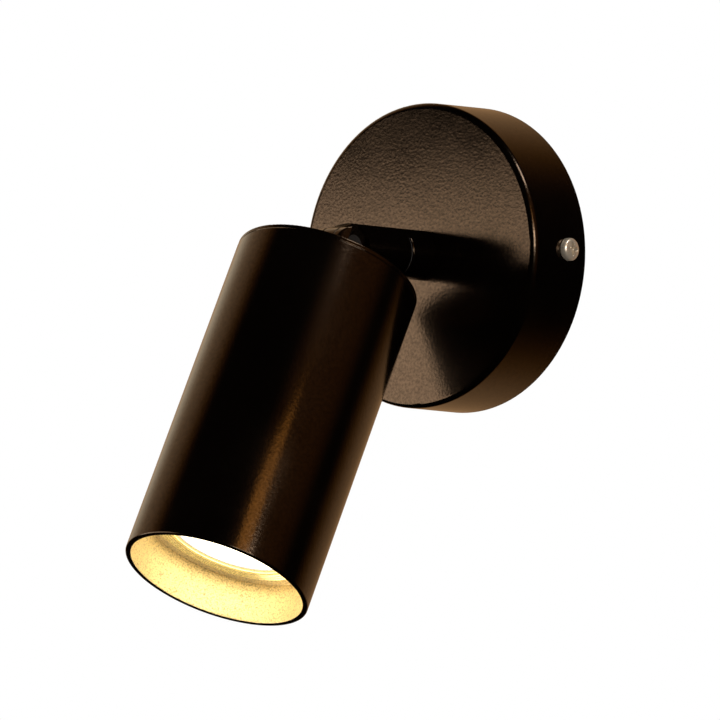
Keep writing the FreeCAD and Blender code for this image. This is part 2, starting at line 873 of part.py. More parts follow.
def make_arm_tube():
    """The turning sleeve. Its floor runs on the stem, and a groove in it meets the stop pin."""
    body = turned(
        place_on_wall,
        "ArmTube",
        [
            ("stem_radius + running_gap", ARM_BACK),
            ("arm_radius", ARM_BACK),
            ("arm_radius", TUBE_FRONT),
            (ARM_BORE, TUBE_FRONT),
            (ARM_BORE, FLOOR_FRONT),
            ("stem_radius + running_gap", FLOOR_FRONT),
        ],
    )
    back = sum(SIZES[name] for name in ARM_BACK_STACK)
    dress(body, "Fillet", "Radius", "arm_edge", circle_at(back, SIZES["arm_radius"]))
    sketch = new_sketch(body, "YZ")
    half = "(stop_pin_radius + stop_groove_gap)"
    add_rectangle(
        sketch,
        f"{STOP_CIRCLE} - {half}",
        f"{ARM_BACK} - cut_overrun",
        f"{STOP_CIRCLE} + {half}",
        f"{ARM_BACK} + stop_pin_reach + stop_groove_gap",
    )
    groove = body.newObject("PartDesign::Groove", "StopGroove")
    groove.Profile = sketch
    groove.ReferenceAxis = (sketch, ["V_Axis"])
    groove.Midplane = True
    bind(groove, "Angle", "360 - stop_lug_angle")
    finish_feature(body, groove)
    keep(body, "arm_tube")


def make_arm_knuckle():
    """The arm's end: a hollow spigot in the tube, a flat shoulder, a bevelled tongue, an eye."""
    body = turned(
        place_on_wall,
        "ArmKnuckle",
        [
            ("lead_bore", TUBE_FRONT),
            (SPIGOT_BORE, TUBE_FRONT),
            (SPIGOT_BORE, SPIGOT_BACK),
            (SPIGOT_RADIUS, SPIGOT_BACK),
            (SPIGOT_RADIUS, TUBE_FRONT),
            ("arm_radius", TUBE_FRONT),
            ("arm_radius", SHOULDER),
            ("lead_bore", SHOULDER),
        ],
    )
    # the bevel leaves the arm's full height at bevel_start and touches the eye at this angle
    touch = (
        "(atan(arm_radius / bevel_start)"
        " + acos(eye_radius / sqrt(arm_radius ^ 2 + bevel_start ^ 2)))"
    )
    height = f"(eye_radius * sin({touch}))"
    level = f"(pivot_reach - eye_radius * cos({touch}))"
    sketch = new_sketch(body, "YZ")
    add_polygon(
        sketch,
        [
            ("-arm_radius", f"{SHOULDER} - cut_overrun"),
            ("arm_radius", f"{SHOULDER} - cut_overrun"),
            ("arm_radius", "pivot_reach - bevel_start"),
            (height, level),
            (f"-{height}", level),
            ("-arm_radius", "pivot_reach - bevel_start"),
        ],
    )
    pad(body, sketch, "tongue_thickness", middle=True)
    sketch = new_sketch(body, "YZ")
    add_circle(sketch, "0", "pivot_reach", "eye_radius")
    pad(body, sketch, "tongue_thickness", middle=True)
    # nothing stands proud of the round arm
    sketch = new_sketch(body, "XZ")
    reach = "(pivot_reach + 2 * eye_radius)"
    low = f"{SHOULDER} - 2 * cut_overrun"
    add_rectangle(sketch, "arm_radius", low, "2 * arm_radius", reach)
    revolve(body, sketch, "Groove")
    dress(body, "Fillet", "Radius", "knuckle_rounding", tongue_edge)
    # the leads' flat channel passes the screw on both sides
    sketch = new_sketch(body, "XY", reach)
    wide = "channel_width / 2"
    high = "channel_height / 2"
    add_rectangle(sketch, f"-{wide}", f"-{high}", wide, high)
    pocket(body, sketch, f"{reach} - ({SHOULDER}) + sleeve_end")
    sketch = new_sketch(body, "YZ")
    add_circle(sketch, "0", "pivot_reach", "pivot_screw_radius + running_gap")
    pocket(body, sketch, "2 * tongue_thickness", middle=True)
    keep(body, "arm_knuckle")


def tongue_edge(edge):
    """Picks the rim of the tongue's two flat sides, but not where they meet the shoulder."""
    half = SIZES["tongue_thickness"] / 2
    shoulder = SIZES["pivot_reach"] - SIZES["eye_radius"] - SIZES["shoulder_gap"]
    points = [vertex.Point for vertex in edge.Vertexes] + [edge.CenterOfMass]
    on_side = all(math.isclose(abs(p.x), half, abs_tol=SAME_PLACE) for p in points)
    at_shoulder = all(math.isclose(p.z, shoulder, abs_tol=SAME_PLACE) for p in points)
    return on_side and not at_shoulder


def make_head_clevis():
    """A round bar milled to two round-topped cheeks, with a hollow threaded tail."""
    body = new_body(place_at_pivot, "HeadClevis")
    width = f"2 * {CHEEK_OUTSIDE}"
    flange_back = "(pivot_to_cap - clevis_flange)"
    sketch = new_sketch(body, "YZ")
    add_circle(sketch, "0", "0", "eye_radius")
    pad(body, sketch, width, middle=True)
    sketch = new_sketch(body, "YZ")
    add_rectangle(sketch, "-eye_radius", "0", "eye_radius", "pivot_to_cap")
    pad(body, sketch, width, middle=True)
    sketch = new_sketch(body, "XZ")
    add_rectangle(sketch, "0", flange_back, "arm_radius", "pivot_to_cap")
    revolve(body, sketch)
    # the cheeks stay inside the bar's round, which is as thick as the arm
    sketch = new_sketch(body, "XZ")
    low = "-2 * eye_radius"
    add_rectangle(sketch, "arm_radius", low, "2 * arm_radius", "pivot_to_cap + cut_overrun")
    revolve(body, sketch, "Groove")
    dress(body, "Fillet", "Radius", "clevis_rounding", cheek_edge)
    length = f"{CLEVIS_NUT_FRONT} + clevis_screw_tail"
    add_disc(body, "0", "0", "stem_radius", "pivot_to_cap", length)
    sketch = new_sketch(body, "YZ")
    far = "2 * eye_radius"
    add_rectangle(sketch, f"-{far}", f"-{far}", far, flange_back)
    pocket(body, sketch, f"2 * {CHEEK_INSIDE}", middle=True)
    front = f"pivot_to_cap + {CLEVIS_NUT_FRONT} + clevis_screw_tail"
    depth = f"{front} - {flange_back} + cut_overrun"
    drill(body, "0", "0", "lead_bore", front, depth)
    sketch = new_sketch(body, "YZ")
    add_circle(sketch, "0", "0", "pivot_screw_radius + seat_gap")
    pocket(body, sketch, width, middle=True)
    sketch = new_sketch(body, "YZ", CHEEK_OUTSIDE)
    add_circle(sketch, "0", "0", "pivot_head_radius + seat_gap")
    pocket(body, sketch, "pivot_head_height")
    sketch = new_sketch(body, "YZ", f"-{CHEEK_OUTSIDE}")
    add_hexagon(sketch, "pivot_nut_flats + 2 * seat_gap")
    pocket(body, sketch, "pivot_nut_thickness", reverse=True)
    keep(body, "head_clevis")


def cheek_edge(edge):
    """Picks the rim of the cheeks' outer sides, above the flange."""
    flange_back = SIZES["pivot_to_cap"] - SIZES["clevis_flange"]
    points = [vertex.Point for vertex in edge.Vertexes] + [edge.CenterOfMass]
    above = all(p.z < flange_back - SAME_PLACE for p in points)
    upright = isinstance(edge.Curve, Part.Line) and abs(edge.Curve.Direction.x) > PARALLEL
    return above and not upright


def make_pivot_hardware():
    """The socket screw through the knuckle, its nut, and a friction washer on each side."""
    under = f"({CHEEK_OUTSIDE} - pivot_head_height)"
    body = turned(
        place_at_pivot,
        "PivotScrew",
        [
            (f"-{CHEEK_OUTSIDE}", "0"),
            (CHEEK_OUTSIDE, "0"),
            (CHEEK_OUTSIDE, "pivot_head_radius"),
            (under, "pivot_head_radius"),
            (under, "pivot_screw_radius"),
            (f"-{CHEEK_OUTSIDE}", "pivot_screw_radius"),
        ],
        "H_Axis",
    )
    sketch = new_sketch(body, "YZ", CHEEK_OUTSIDE)
    add_hexagon(sketch, "hex_key_flats")
    pocket(body, sketch, "hex_key_depth")
    keep(body, "pivot_screw")
    body = new_body(place_at_pivot, "PivotNut")
    sketch = new_sketch(body, "YZ", f"-{CHEEK_OUTSIDE}")
    add_hexagon(sketch, "pivot_nut_flats")
    add_circle(sketch, "0", "0", "pivot_screw_radius + seat_gap")
    pad(body, sketch, "pivot_nut_thickness")
    keep(body, "pivot_nut")
    body = cross_tube(
        place_at_pivot,
        "FrictionWasher",
        "pivot_screw_radius + seat_gap",
        "friction_washer_radius",
        f"{CHEEK_INSIDE} - friction_washer_thickness",
        CHEEK_INSIDE,
    )
    mirrored_pair(body, "friction_washers")


# ---- head


def make_rear_cap():
    """A turned cap: a disc as wide as the tube, with a skirt that is pressed inside it."""
    skirt = f"({HEAD_BORE} - seat_gap)"
    body = turned(
        place_on_head,
        "RearCap",
        [
            ("stem_radius + seat_gap", "0"),
            ("head_radius", "0"),
            ("head_radius", "cap_thickness"),
            (skirt, "cap_thickness"),
            (skirt, "cap_thickness + cap_skirt"),
            (f"{skirt} - cap_skirt_wall", "cap_thickness + cap_skirt"),
            (f"{skirt} - cap_skirt_wall", "cap_thickness"),
            ("stem_radius + seat_gap", "cap_thickness"),
        ],
    )
    radius = SIZES["head_radius"]
    seam = circle_at(SIZES["cap_thickness"], radius)
    dress(body, "Fillet", "Radius", "cap_rounding", circle_at(0.0, radius))
    dress(body, "Fillet", "Radius", "seam_rounding", seam)
    keep(body, "rear_cap")


def make_head_tube():
    body = tube(
        place_on_head, "HeadTube", HEAD_BORE, "head_radius", "cap_thickness", "head_length"
    )
    length = SIZES["head_length"]
    radius = SIZES["head_radius"]
    bore = radius - SIZES["head_wall"]
    dress(body, "Fillet", "Radius", "mouth_rounding", circle_at(length, radius))
    dress(body, "Fillet", "Radius", "mouth_rounding", circle_at(length, bore))
    seam = circle_at(SIZES["cap_thickness"], radius)
    dress(body, "Fillet", "Radius", "seam_rounding", seam)
    keep(body, "head_tube")


def make_clevis_hardware():
    bore = "stem_radius + seat_gap"
    body = tube(
        place_on_head,
        "ClevisWasher",
        bore,
        "clevis_washer_radius",
        STRIP_FRONT,
        CLEVIS_WASHER_FRONT,
    )
    keep(body, "clevis_washer")
    body = nut(
        place_on_head,
        "ClevisNut",
        "clevis_nut_flats",
        bore,
        CLEVIS_WASHER_FRONT,
        "clevis_nut_thickness",
    )
    keep(body, "clevis_nut")


def make_holder_bracket():
    """A folded strip: its base is clamped on the cap, and its feet carry the holder."""
    inner = "(holder_strip_half - holder_strip)"
    foot = "(holder_strip_half + holder_foot)"
    body = new_body(place_on_head, "HolderBracket")
    sketch = new_sketch(body, "XZ")
    right = [
        ("holder_strip_half", CAP_INSIDE),
        ("holder_strip_half", FOOT_BACK),
        (foot, FOOT_BACK),
        (foot, HOLDER_BACK),
        (inner, HOLDER_BACK),
        (inner, STRIP_FRONT),
    ]
    left = [(f"-{across}", level) for across, level in reversed(right)]
    add_polygon(sketch, right + left)
    pad(body, sketch, "holder_strip_width", middle=True)
    drill(body, "0", "0", "stem_radius + seat_gap", STRIP_FRONT, "2 * holder_strip")
    for side in ("-", ""):
        place = f"{side}holder_screw_place"
        drill(body, place, "0", "holder_screw_radius + seat_gap", HOLDER_BACK, "2 * holder_strip")
    keep(body, "holder_bracket")


def make_lampholder():
    """A ceramic holder: a low foot with screw ears, a tower, and two sockets for the pins."""
    body = new_body(place_on_head, "Lampholder")
    sketch = new_sketch(body, "XY", HOLDER_BACK)
    add_rectangle(
        sketch,
        "-holder_half_length",
        "-holder_half_width",
        "holder_half_length",
        "holder_half_width",
    )
    pad(body, sketch, "holder_ledge")
    upright = upright_edges(SIZES["holder_half_length"], SIZES["holder_half_width"])
    dress(body, "Fillet", "Radius", "holder_corner", upright)
    sketch = new_sketch(body, "XY", LEDGE_FRONT)
    tower_width = "(holder_half_width - holder_tower_inset)"
    half = "(holder_screw_place - holder_head_radius - holder_tower_gap)"
    add_rectangle(sketch, f"-{half}", f"-{tower_width}", half, tower_width)
    pad(body, sketch, f"{HOLDER_FRONT} - {LEDGE_FRONT}")
    for side in ("-", ""):
        place = f"{side}holder_screw_place"
        depth = "holder_ledge + cut_overrun"
        drill(body, place, "0", "holder_screw_radius + seat_gap", LEDGE_FRONT, depth)
        socket = "pin_head_radius + pin_socket_gap"
        depth = "pin_length + pin_socket_gap"
        drill(body, f"{side}pin_spacing / 2", "0", socket, HOLDER_FRONT, depth)
        depth = "holder_height + cut_overrun"
        drill(body, f"{side}pin_spacing / 2", "0", "lead_radius + seat_gap", HOLDER_FRONT, depth)
    keep(body, "lampholder")


def upright_edges(across, up):
    def chosen(edge):
        if not isinstance(edge.Curve, Part.Line):
            return False
        middle = edge.CenterOfMass
        along = abs(edge.Curve.Direction.z) > PARALLEL
        at_side = math.isclose(abs(middle.x), across, abs_tol=SAME_PLACE)
        return along and at_side and math.isclose(abs(middle.y), up, abs_tol=SAME_PLACE)

    return chosen


def make_holder_screws():
    body = new_body(place_on_head, "HolderScrew")
    place = "holder_screw_place"
    back = f"({FOOT_BACK} - holder_nut_thickness)"
    length = "holder_nut_thickness + holder_strip + holder_ledge"
    add_disc(body, place, "0", "holder_screw_radius", back, length)
    add_disc(body, place, "0", "holder_head_radius", LEDGE_FRONT, "holder_head_height")
    mirrored_pair(body, "holder_screws")
    bore = "holder_screw_radius + seat_gap"
    thickness = "holder_nut_thickness"
    body = nut(place_on_head, "HolderNut", "holder_nut_flats", bore, back, thickness, place)
    mirrored_pair(body, "holder_nuts")


def make_lamp():
    """The lamp's shell with its rim, the base under it, the two pins, the board and the lens."""
    shoulder = BASE_FRONT
    body = turned(
        place_on_head,
        "LampBody",
        [
            ("lamp_base_radius - lamp_wall", shoulder),
            ("lamp_neck_radius", shoulder),
            ("lamp_radius", RIM_BACK),
            ("lamp_radius", LAMP_FRONT),
            ("lamp_rim_inside", LAMP_FRONT),
            ("lamp_rim_inside", f"{LAMP_FRONT} - lens_recess - lens_thickness"),
            ("lamp_radius - 2 * lamp_wall", RIM_BACK),
            ("lamp_neck_radius - lamp_wall", f"{shoulder} + lamp_wall"),
            ("lamp_base_radius - lamp_wall", f"{shoulder} + lamp_wall"),
        ],
    )
    keep(body, "lamp_body")
    body = new_body(place_on_head, "LampBase")
    add_disc(body, "0", "0", "lamp_base_radius", LAMP_SEAT, "lamp_base_length")
    for side in ("-", ""):
        place = f"{side}pin_spacing / 2"
        depth = "pin_length + cut_overrun"
        drill(body, place, "0", "pin_radius", f"{LAMP_SEAT} + pin_length", depth)
    keep(body, "lamp_base")
    body = new_body(place_on_head, "LampPin")
    place = "pin_spacing / 2"
    tip = f"({LAMP_SEAT} - pin_length)"
    add_disc(body, place, "0", "pin_head_radius", tip, "pin_head_height")
    length = "2 * pin_length - pin_head_height"
    add_disc(body, place, "0", "pin_radius", f"{tip} + pin_head_height", length)
    mirrored_pair(body, "lamp_pins")
    body = new_body(place_on_head, "LedBoard")
    back = f"({LAMP_FRONT} - led_board_depth)"
    # the board sits in the shell's cone, as wide as the cone is at the board's back
    wide = "(lamp_radius - 2 * lamp_wall)"
    narrow = "(lamp_neck_radius - lamp_wall)"
    share = f"(({RIM_BACK} - {back}) / ({RIM_BACK} - {shoulder} - lamp_wall))"
    board_radius = f"{wide} - ({wide} - {narrow}) * {share} - seat_gap"
    add_disc(body, "0", "0", board_radius, back, "led_board_thickness")
    keep(body, "led_board")
    body = new_body(place_on_head, "LampLens")
    back = f"({LAMP_FRONT} - lens_recess - lens_thickness)"
    add_disc(body, "0", "0", "lamp_rim_inside - lens_gap", back, "lens_thickness")
    keep(body, "lamp_lens")


def make_front_ring():
    """An angle ring that closes the gap between the lamp and the tube."""
    outside = f"({HEAD_BORE} - seat_gap)"
    body = turned(
        place_on_head,
        "FrontRing",
        [
            ("lamp_radius + face_gap", f"{LAMP_FRONT} - ring_thickness"),
            ("lamp_radius + face_gap", LAMP_FRONT),
            (outside, LAMP_FRONT),
            (outside, f"{LAMP_FRONT} - ring_skirt"),
            (f"{outside} - ring_skirt_wall", f"{LAMP_FRONT} - ring_skirt"),
            (f"{outside} - ring_skirt_wall", f"{LAMP_FRONT} - ring_thickness"),
        ],
    )
    keep(body, "front_ring")


# ---- leads


def make_leads():
    """The sleeved leads on the arm's axis, in one stretch for each body that they lie in."""
    body = new_body(place_on_wall, "StemSleeve")
    back = f"({STEM_BACK} - stem_tail / 2)"
    add_disc(body, "0", "0", "sleeve_radius", back, f"{STEM_FRONT} - {back}")
    keep(body, "stem_sleeve")
    body = new_body(place_on_wall, "ArmSleeve")
    back = f"({STEM_FRONT} + sleeve_break)"
    add_disc(body, "0", "0", "sleeve_radius", back, f"{SHOULDER} - sleeve_end - {back}")
    keep(body, "arm_sleeve")


def check_and_write():
    document.recompute()
    for thing in document.Objects:
        if "Invalid" in thing.State or "Error" in thing.State:
            raise RuntimeError(f"{thing.Label} has state {thing.State}")
    for thing in parts:
        if thing.Shape.isNull() or not thing.Shape.isValid():
            raise RuntimeError(f"{thing.Label} has no valid shape")
    os.makedirs("parts", exist_ok=True)
    for thing in parts:
        thing.Shape.exportStep(f"parts/{thing.Label}.step")


make_sheet()
make_canopy()
make_wall_bracket()
make_side_screws()
make_terminal_block()
make_terminal_screws()
make_block_screw()
make_earth_screw()
make_earth_washer()
make_stem()
make_lock_washer()
make_collar()
make_seam_washer()
make_stop_pin()
make_swivel_hardware()
make_arm_tube()
make_arm_knuckle()
make_head_clevis()
make_pivot_hardware()
make_rear_cap()
make_head_tube()
make_clevis_hardware()
make_holder_bracket()
make_lampholder()
make_holder_screws()
make_lamp()
make_front_ring()
make_leads()
check_and_write()
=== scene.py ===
"""Looks of a pivoting spotlight wall light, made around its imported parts.

The file is laid out as a Blender add-on: settings, one operator for each piece or group of like
pieces, one for the stage, and a panel that lists them. Lengths are in metres. The origin is the
centre of the canopy's back rim, +Z is up and -Y points into the room.
"""

import json
import math

import bmesh
import bpy
import numpy as np
from bpy.props import FloatProperty, FloatVectorProperty, IntProperty, PointerProperty
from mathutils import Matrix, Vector


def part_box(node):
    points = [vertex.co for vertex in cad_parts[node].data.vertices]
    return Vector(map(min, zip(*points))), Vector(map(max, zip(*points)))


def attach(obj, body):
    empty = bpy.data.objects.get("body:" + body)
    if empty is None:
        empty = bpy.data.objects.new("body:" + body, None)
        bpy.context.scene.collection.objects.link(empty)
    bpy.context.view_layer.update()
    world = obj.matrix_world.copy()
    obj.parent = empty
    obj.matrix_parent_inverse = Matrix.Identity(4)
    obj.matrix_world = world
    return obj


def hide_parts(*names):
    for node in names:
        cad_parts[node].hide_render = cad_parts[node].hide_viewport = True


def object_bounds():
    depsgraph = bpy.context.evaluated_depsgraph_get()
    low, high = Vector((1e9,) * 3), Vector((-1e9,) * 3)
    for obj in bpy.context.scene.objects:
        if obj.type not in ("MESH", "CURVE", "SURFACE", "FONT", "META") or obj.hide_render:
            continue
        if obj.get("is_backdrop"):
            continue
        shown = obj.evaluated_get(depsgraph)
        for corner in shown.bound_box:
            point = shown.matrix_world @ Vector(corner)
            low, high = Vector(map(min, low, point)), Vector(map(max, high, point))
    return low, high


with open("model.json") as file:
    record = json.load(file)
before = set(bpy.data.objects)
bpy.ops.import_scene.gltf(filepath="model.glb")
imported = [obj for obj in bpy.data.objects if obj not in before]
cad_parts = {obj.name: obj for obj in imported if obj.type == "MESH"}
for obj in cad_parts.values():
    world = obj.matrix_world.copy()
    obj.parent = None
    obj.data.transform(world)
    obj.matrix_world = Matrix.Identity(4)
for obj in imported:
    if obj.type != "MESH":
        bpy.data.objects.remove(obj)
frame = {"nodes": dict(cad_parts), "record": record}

bl_info = {
    "name": "Pivoting Spotlight Finish",
    "version": (1, 0, 0),
    "blender": (4, 5, 0),
    "location": "View3D > Sidebar > Spotlight",
    "description": "Dresses the parts of a pivoting spotlight wall light and sets its stage",
    "category": "Object",
}

MM = 0.001
FULL_TURN = 2 * math.pi
TURNED_UV = "turned"
SHARP_ANGLE = math.radians(35)
WHITE = (1.0, 1.0, 1.0, 1.0)


# ---- places and sizes, read from the frame


def mesh_points(mesh):
    """All vertices of a mesh, as rows of an array."""
    flat = np.empty(3 * len(mesh.vertices), np.float32)
    mesh.vertices.foreach_get("co", flat)
    return flat.reshape(-1, 3).astype(float)


def box_centre(name):
    """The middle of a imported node's box."""
    low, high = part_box(name)
    return np.array((low + high) / 2)


class Axis:
    """A line that pieces are turned about, with two directions square to it."""

    def __init__(self, start, along, across):
        self.start = np.asarray(start, float)
        self.along = np.asarray(along, float) / np.linalg.norm(along)
        square = across - np.dot(across, self.along) * self.along
        self.across = square / np.linalg.norm(square)
        self.up = np.cross(self.along, self.across)

    def points(self, radius, turn, level):
        """start + level * along + radius * (cos(turn) * across + sin(turn) * up), for arrays."""
        x, y, level = np.broadcast_arrays(radius * np.cos(turn), radius * np.sin(turn), level)
        flat = x[..., None] * self.across + y[..., None] * self.up
        return self.start + flat + level[..., None] * self.along

    def reach(self, name):
        """A node's lowest and highest level, and its least and greatest radius."""
        offset = mesh_points(frame["nodes"][name].data) - self.start
        level = offset @ self.along
        radius = np.linalg.norm(offset - np.outer(level, self.along), axis=1)
        return level.min(), level.max(), radius.min(), radius.max()


ACROSS = np.array([1.0, 0.0, 0.0])
WALL_AXIS = Axis((0, 0, 0), (0, -1, 0), ACROSS)
JOINTS = {joint["name"]: joint for joint in frame["record"]["behaviour"]["joints"]}
PIVOT = np.array(JOINTS["head_tilt"]["pos_m"], float)
HEAD_AXIS = Axis(PIVOT, box_centre("head_tube") - PIVOT, ACROSS)


# ---- surfaces on grids


def grid_faces(rows, columns, rows_close=False, columns_close=True):
    """Quads between the points of a grid, and over its seams where it closes on itself."""
    row = np.arange(rows if rows_close else rows - 1)
    column = np.arange(columns if columns_close else columns - 1)
    low, left = np.meshgrid(row, column, indexing="ij")
    high = (low + 1) % rows
    right = (left + 1) % columns
    corners = [low * columns + left, high * columns + left]
    corners += [high * columns + right, low * columns + right]
    return np.stack(corners, -1).reshape(-1, 4)


def rounded_outline(corners, steps=6):
    """Points of a closed outline of corners (radius, level, rounding).

    A corner with a rounding is cut back along both sides by rounding / tan(half its angle),
    and an arc that touches both sides there takes its place.
    """
    places = np.array([corner[:2] for corner in corners], float)
    found = []
    for index, (_, _, rounding) in enumerate(corners):
        place = places[index]
        if rounding == 0:
            found.append(place[None])
            continue
        back = places[index - 1] - place
        ahead = places[(index + 1) % len(places)] - place
        back /= np.linalg.norm(back)
        ahead /= np.linalg.norm(ahead)
        half = math.acos(np.clip(back @ ahead, -1, 1)) / 2
        middle = (back + ahead) / np.linalg.norm(back + ahead)
        centre = place + middle * rounding / math.sin(half)
        first = place + back * rounding / math.tan(half) - centre
        last = place + ahead * rounding / math.tan(half) - centre
        share = np.linspace(0, 1, steps + 1)[:, None]
        sweep = math.pi - 2 * half
        arc = np.sin((1 - share) * sweep) * first + np.sin(share * sweep) * last
        found.append(centre + arc / math.sin(sweep))
    return np.concatenate(found)


def build_mesh(name, points, faces, materials, finish=None):
    """A mesh from arrays, with doubled points merged and its faces turned outwards."""
    mesh = bpy.data.meshes.new(name)
    mesh.from_pydata(points.reshape(-1, 3).tolist(), [], faces.tolist())
    for material in materials:
        mesh.materials.append(material)
    if finish is not None:
        mesh.polygons.foreach_set("material_index", np.asarray(finish, np.int32))
    shell = bmesh.new()
    shell.from_mesh(mesh)
    bmesh.ops.remove_doubles(shell, verts=shell.verts, dist=1e-8)
    bmesh.ops.dissolve_degenerate(shell, edges=shell.edges, dist=1e-9)
    if shell.calc_volume(signed=True) < 0:
        bmesh.ops.reverse_faces(shell, faces=shell.faces)
    shell.to_mesh(mesh)
    shell.free()
    mesh.shade_smooth()
    mesh.set_sharp_from_angle(angle=SHARP_ANGLE)
    mesh.update()
    return mesh


def add_piece(name, mesh, body, replaced):
    """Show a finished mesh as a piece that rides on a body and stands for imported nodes."""
    piece = bpy.data.objects.new(name, mesh)
    bpy.context.scene.collection.objects.link(piece)
    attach(piece, body)
    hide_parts(*replaced)
    return piece


def turns(segments):
    """Even angles round a full turn, as one row."""
    return np.linspace(0, FULL_TURN, segments, endpoint=False)[None]


def turned_grid(axis, outline, segments):
    """The outline (radius, level) carried round the axis: one row for each outline point."""
    return axis.points(outline[:, :1], turns(segments), outline[:, 1:])


def turned_mesh(name, axis, corners, segments, material, steps):
    """A closed ring turned from an outline of corners (radius, level, rounding)."""
    outline = rounded_outline(corners, steps)
    points = turned_grid(axis, outline, segments)
    faces = grid_faces(len(outline), segments, rows_close=True)
    return build_mesh(name, points, faces, [material])


def lay_turned_uv(mesh, axis, outside):
    """Add a UV map whose U is the radius over the outside one, and V the turn over a full turn."""
    offset = mesh_points(mesh) - axis.start
    x = offset @ axis.across
    y = offset @ axis.up
    uv = np.column_stack([np.hypot(x, y) / outside, np.arctan2(y, x) / FULL_TURN % 1.0])
    corner = np.empty(len(mesh.loops), np.int32)
    mesh.loops.foreach_get("vertex_index", corner)
    layer = mesh.uv_layers.new(name=TURNED_UV)
    layer.data.foreach_set("uv", uv[corner].astype(np.float32).ravel())


# ---- node trees


def add_node(tree, kind, inputs=(), **settings):
    """A node with its settings, and its inputs as values or as links from other sockets."""
    node = tree.nodes.new(kind)
    for key, value in settings.items():
        setattr(node, key, value)
    for key, value in dict(inputs).items():
        if isinstance(value, bpy.types.NodeSocket):
            tree.links.new(value, node.inputs[key])
        else:
            node.inputs[key].default_value = value
    return node


def compute(tree, operation, *values, clamp=False):
    """One math operation on values or sockets."""
    inputs = dict(enumerate(values))
    node = add_node(tree, "ShaderNodeMath", inputs, operation=operation, use_clamp=clamp)
    return node.outputs[0]


# sockets of the Mix node for each kind of data: the two that are mixed, and the result
MIX_SOCKETS = {"FLOAT": (2, 3, 0), "RGBA": (6, 7, 2)}


def mix(tree, kind, mask, first, second):
    """From first to second by a mask, each of them a value or a socket."""
    low, high, result = MIX_SOCKETS[kind]
    ends = {0: mask, low: first, high: second}
    return add_node(tree, "ShaderNodeMix", ends, data_type=kind).outputs[result]


def new_group(name, size, outputs):
    """A shader group with a vector and the features' size as inputs, and float outputs."""
    group = bpy.data.node_groups.new(name, "ShaderNodeTree")
    group.interface.new_socket("Vector", in_out="INPUT", socket_type="NodeSocketVector")
    socket = group.interface.new_socket("Size", in_out="INPUT", socket_type="NodeSocketFloat")
    socket.default_value = size
    for label in outputs:
        group.interface.new_socket(label, in_out="OUTPUT", socket_type="NodeSocketFloat")
    start = group.nodes.new("NodeGroupInput")
    return group, start.outputs["Vector"], start.outputs["Size"]


def once(maker):
    """Keep what a maker returns, so that each group and material is made one time."""
    kept = {}

    def get():
        if "made" not in kept:
            kept["made"] = maker()
        return kept["made"]

    return get


def per_size(tree, size, share=1.0):
    """A texture scale that gives features of one size: share / size."""
    return compute(tree, "DIVIDE", share, size)


def spread(tree, mask, low, high, from_low=0.3, from_high=0.7):
    """The range from from_low to from_high of a mask, laid over that from low to high."""
    ends = {"From Min": from_low, "From Max": from_high, "To Min": low, "To Max": high}
    node = add_node(tree, "ShaderNodeMapRange", {"Value": mask, **ends})
    return node.outputs["Result"]


def noise(tree, vector, size, share=1.0, detail=2.0):
    """A noise whose features are size / share wide."""
    inputs = {"Vector": vector, "Scale": per_size(tree, size, share), "Detail": detail}
    return add_node(tree, "ShaderNodeTexNoise", inputs).outputs["Fac"]


@once
def peel_group():
    """Orange peel: soft pimples of one size under finer ones, and slow patches of gloss."""
    group, vector, size = new_group("Orange peel", 0.9 * MM, ["Height", "Patches"])
    coarse = noise(group, vector, size, detail=1.0)
    fine = noise(group, vector, size, share=3.1)
    fine_height = 0.3
    height = compute(group, "MULTIPLY_ADD", fine, fine_height, coarse)
    patches = noise(group, vector, size, share=0.035, detail=3.0)
    add_node(group, "NodeGroupOutput", {"Height": height, "Patches": patches})
    return group


@once
def sand_group():
    """Sand: sharp grains of one size, some taller, and a mask of the low spaces between grains, where
    shade is painted.
    """
    group, vector, size = new_group("Sand", 0.4 * MM, ["Height", "Gap shade"])
    cell = {"Vector": vector, "Scale": per_size(group, size), "Randomness": 1.0}
    grains = add_node(group, "ShaderNodeTexVoronoi", cell, feature="SMOOTH_F1")
    distance = grains.outputs["Distance"]
    rough = noise(group, vector, size, share=0.45, detail=3.0)
    slope = -0.8
    height = compute(group, "MULTIPLY_ADD", distance, slope, rough)
    gap_shade_mask = spread(group, distance, 0.0, 1.0, from_low=0.35, from_high=0.75)
    add_node(group, "NodeGroupOutput", {"Height": height, "Gap shade": gap_shade_mask})
    return group


@once
def metal_group():
    """Rolled or turned metal: fine streaks, a spangle of patches and small dents."""
    group, vector, size = new_group("Metal surface", 0.5 * MM, ["Height", "Streaks", "Spangle"])
    stretch = {"Vector": vector, "Scale": (0.08, 1.0, 1.0)}
    along = add_node(group, "ShaderNodeMapping", stretch)
    streaks = noise(group, along.outputs["Vector"], size, detail=4.0)
    cell = {"Vector": vector, "Scale": per_size(group, size, share=0.25)}
    spangle = add_node(group, "ShaderNodeTexVoronoi", cell)
    tones = {"Color": spangle.outputs["Color"]}
    tone = add_node(group, "ShaderNodeSeparateColor", tones).outputs["Red"]
    dents = noise(group, vector, size, share=0.5)
    streak_height = 0.35
    height = compute(group, "MULTIPLY_ADD", streaks, streak_height, dents)
    add_node(group, "NodeGroupOutput", {"Height": height, "Streaks": streaks, "Spangle": tone})
    return group


@once
def moulding_group():
    """Moulded plastic or glazed ceramic: a very fine grain and slow changes of tone."""
    group, vector, size = new_group("Moulded surface", 0.3 * MM, ["Height", "Tone"])
    grain = noise(group, vector, size, detail=3.0)
    tone = noise(group, vector, size, share=0.06)
    add_node(group, "NodeGroupOutput", {"Height": grain, "Tone": tone})
    return group


# ---- materials


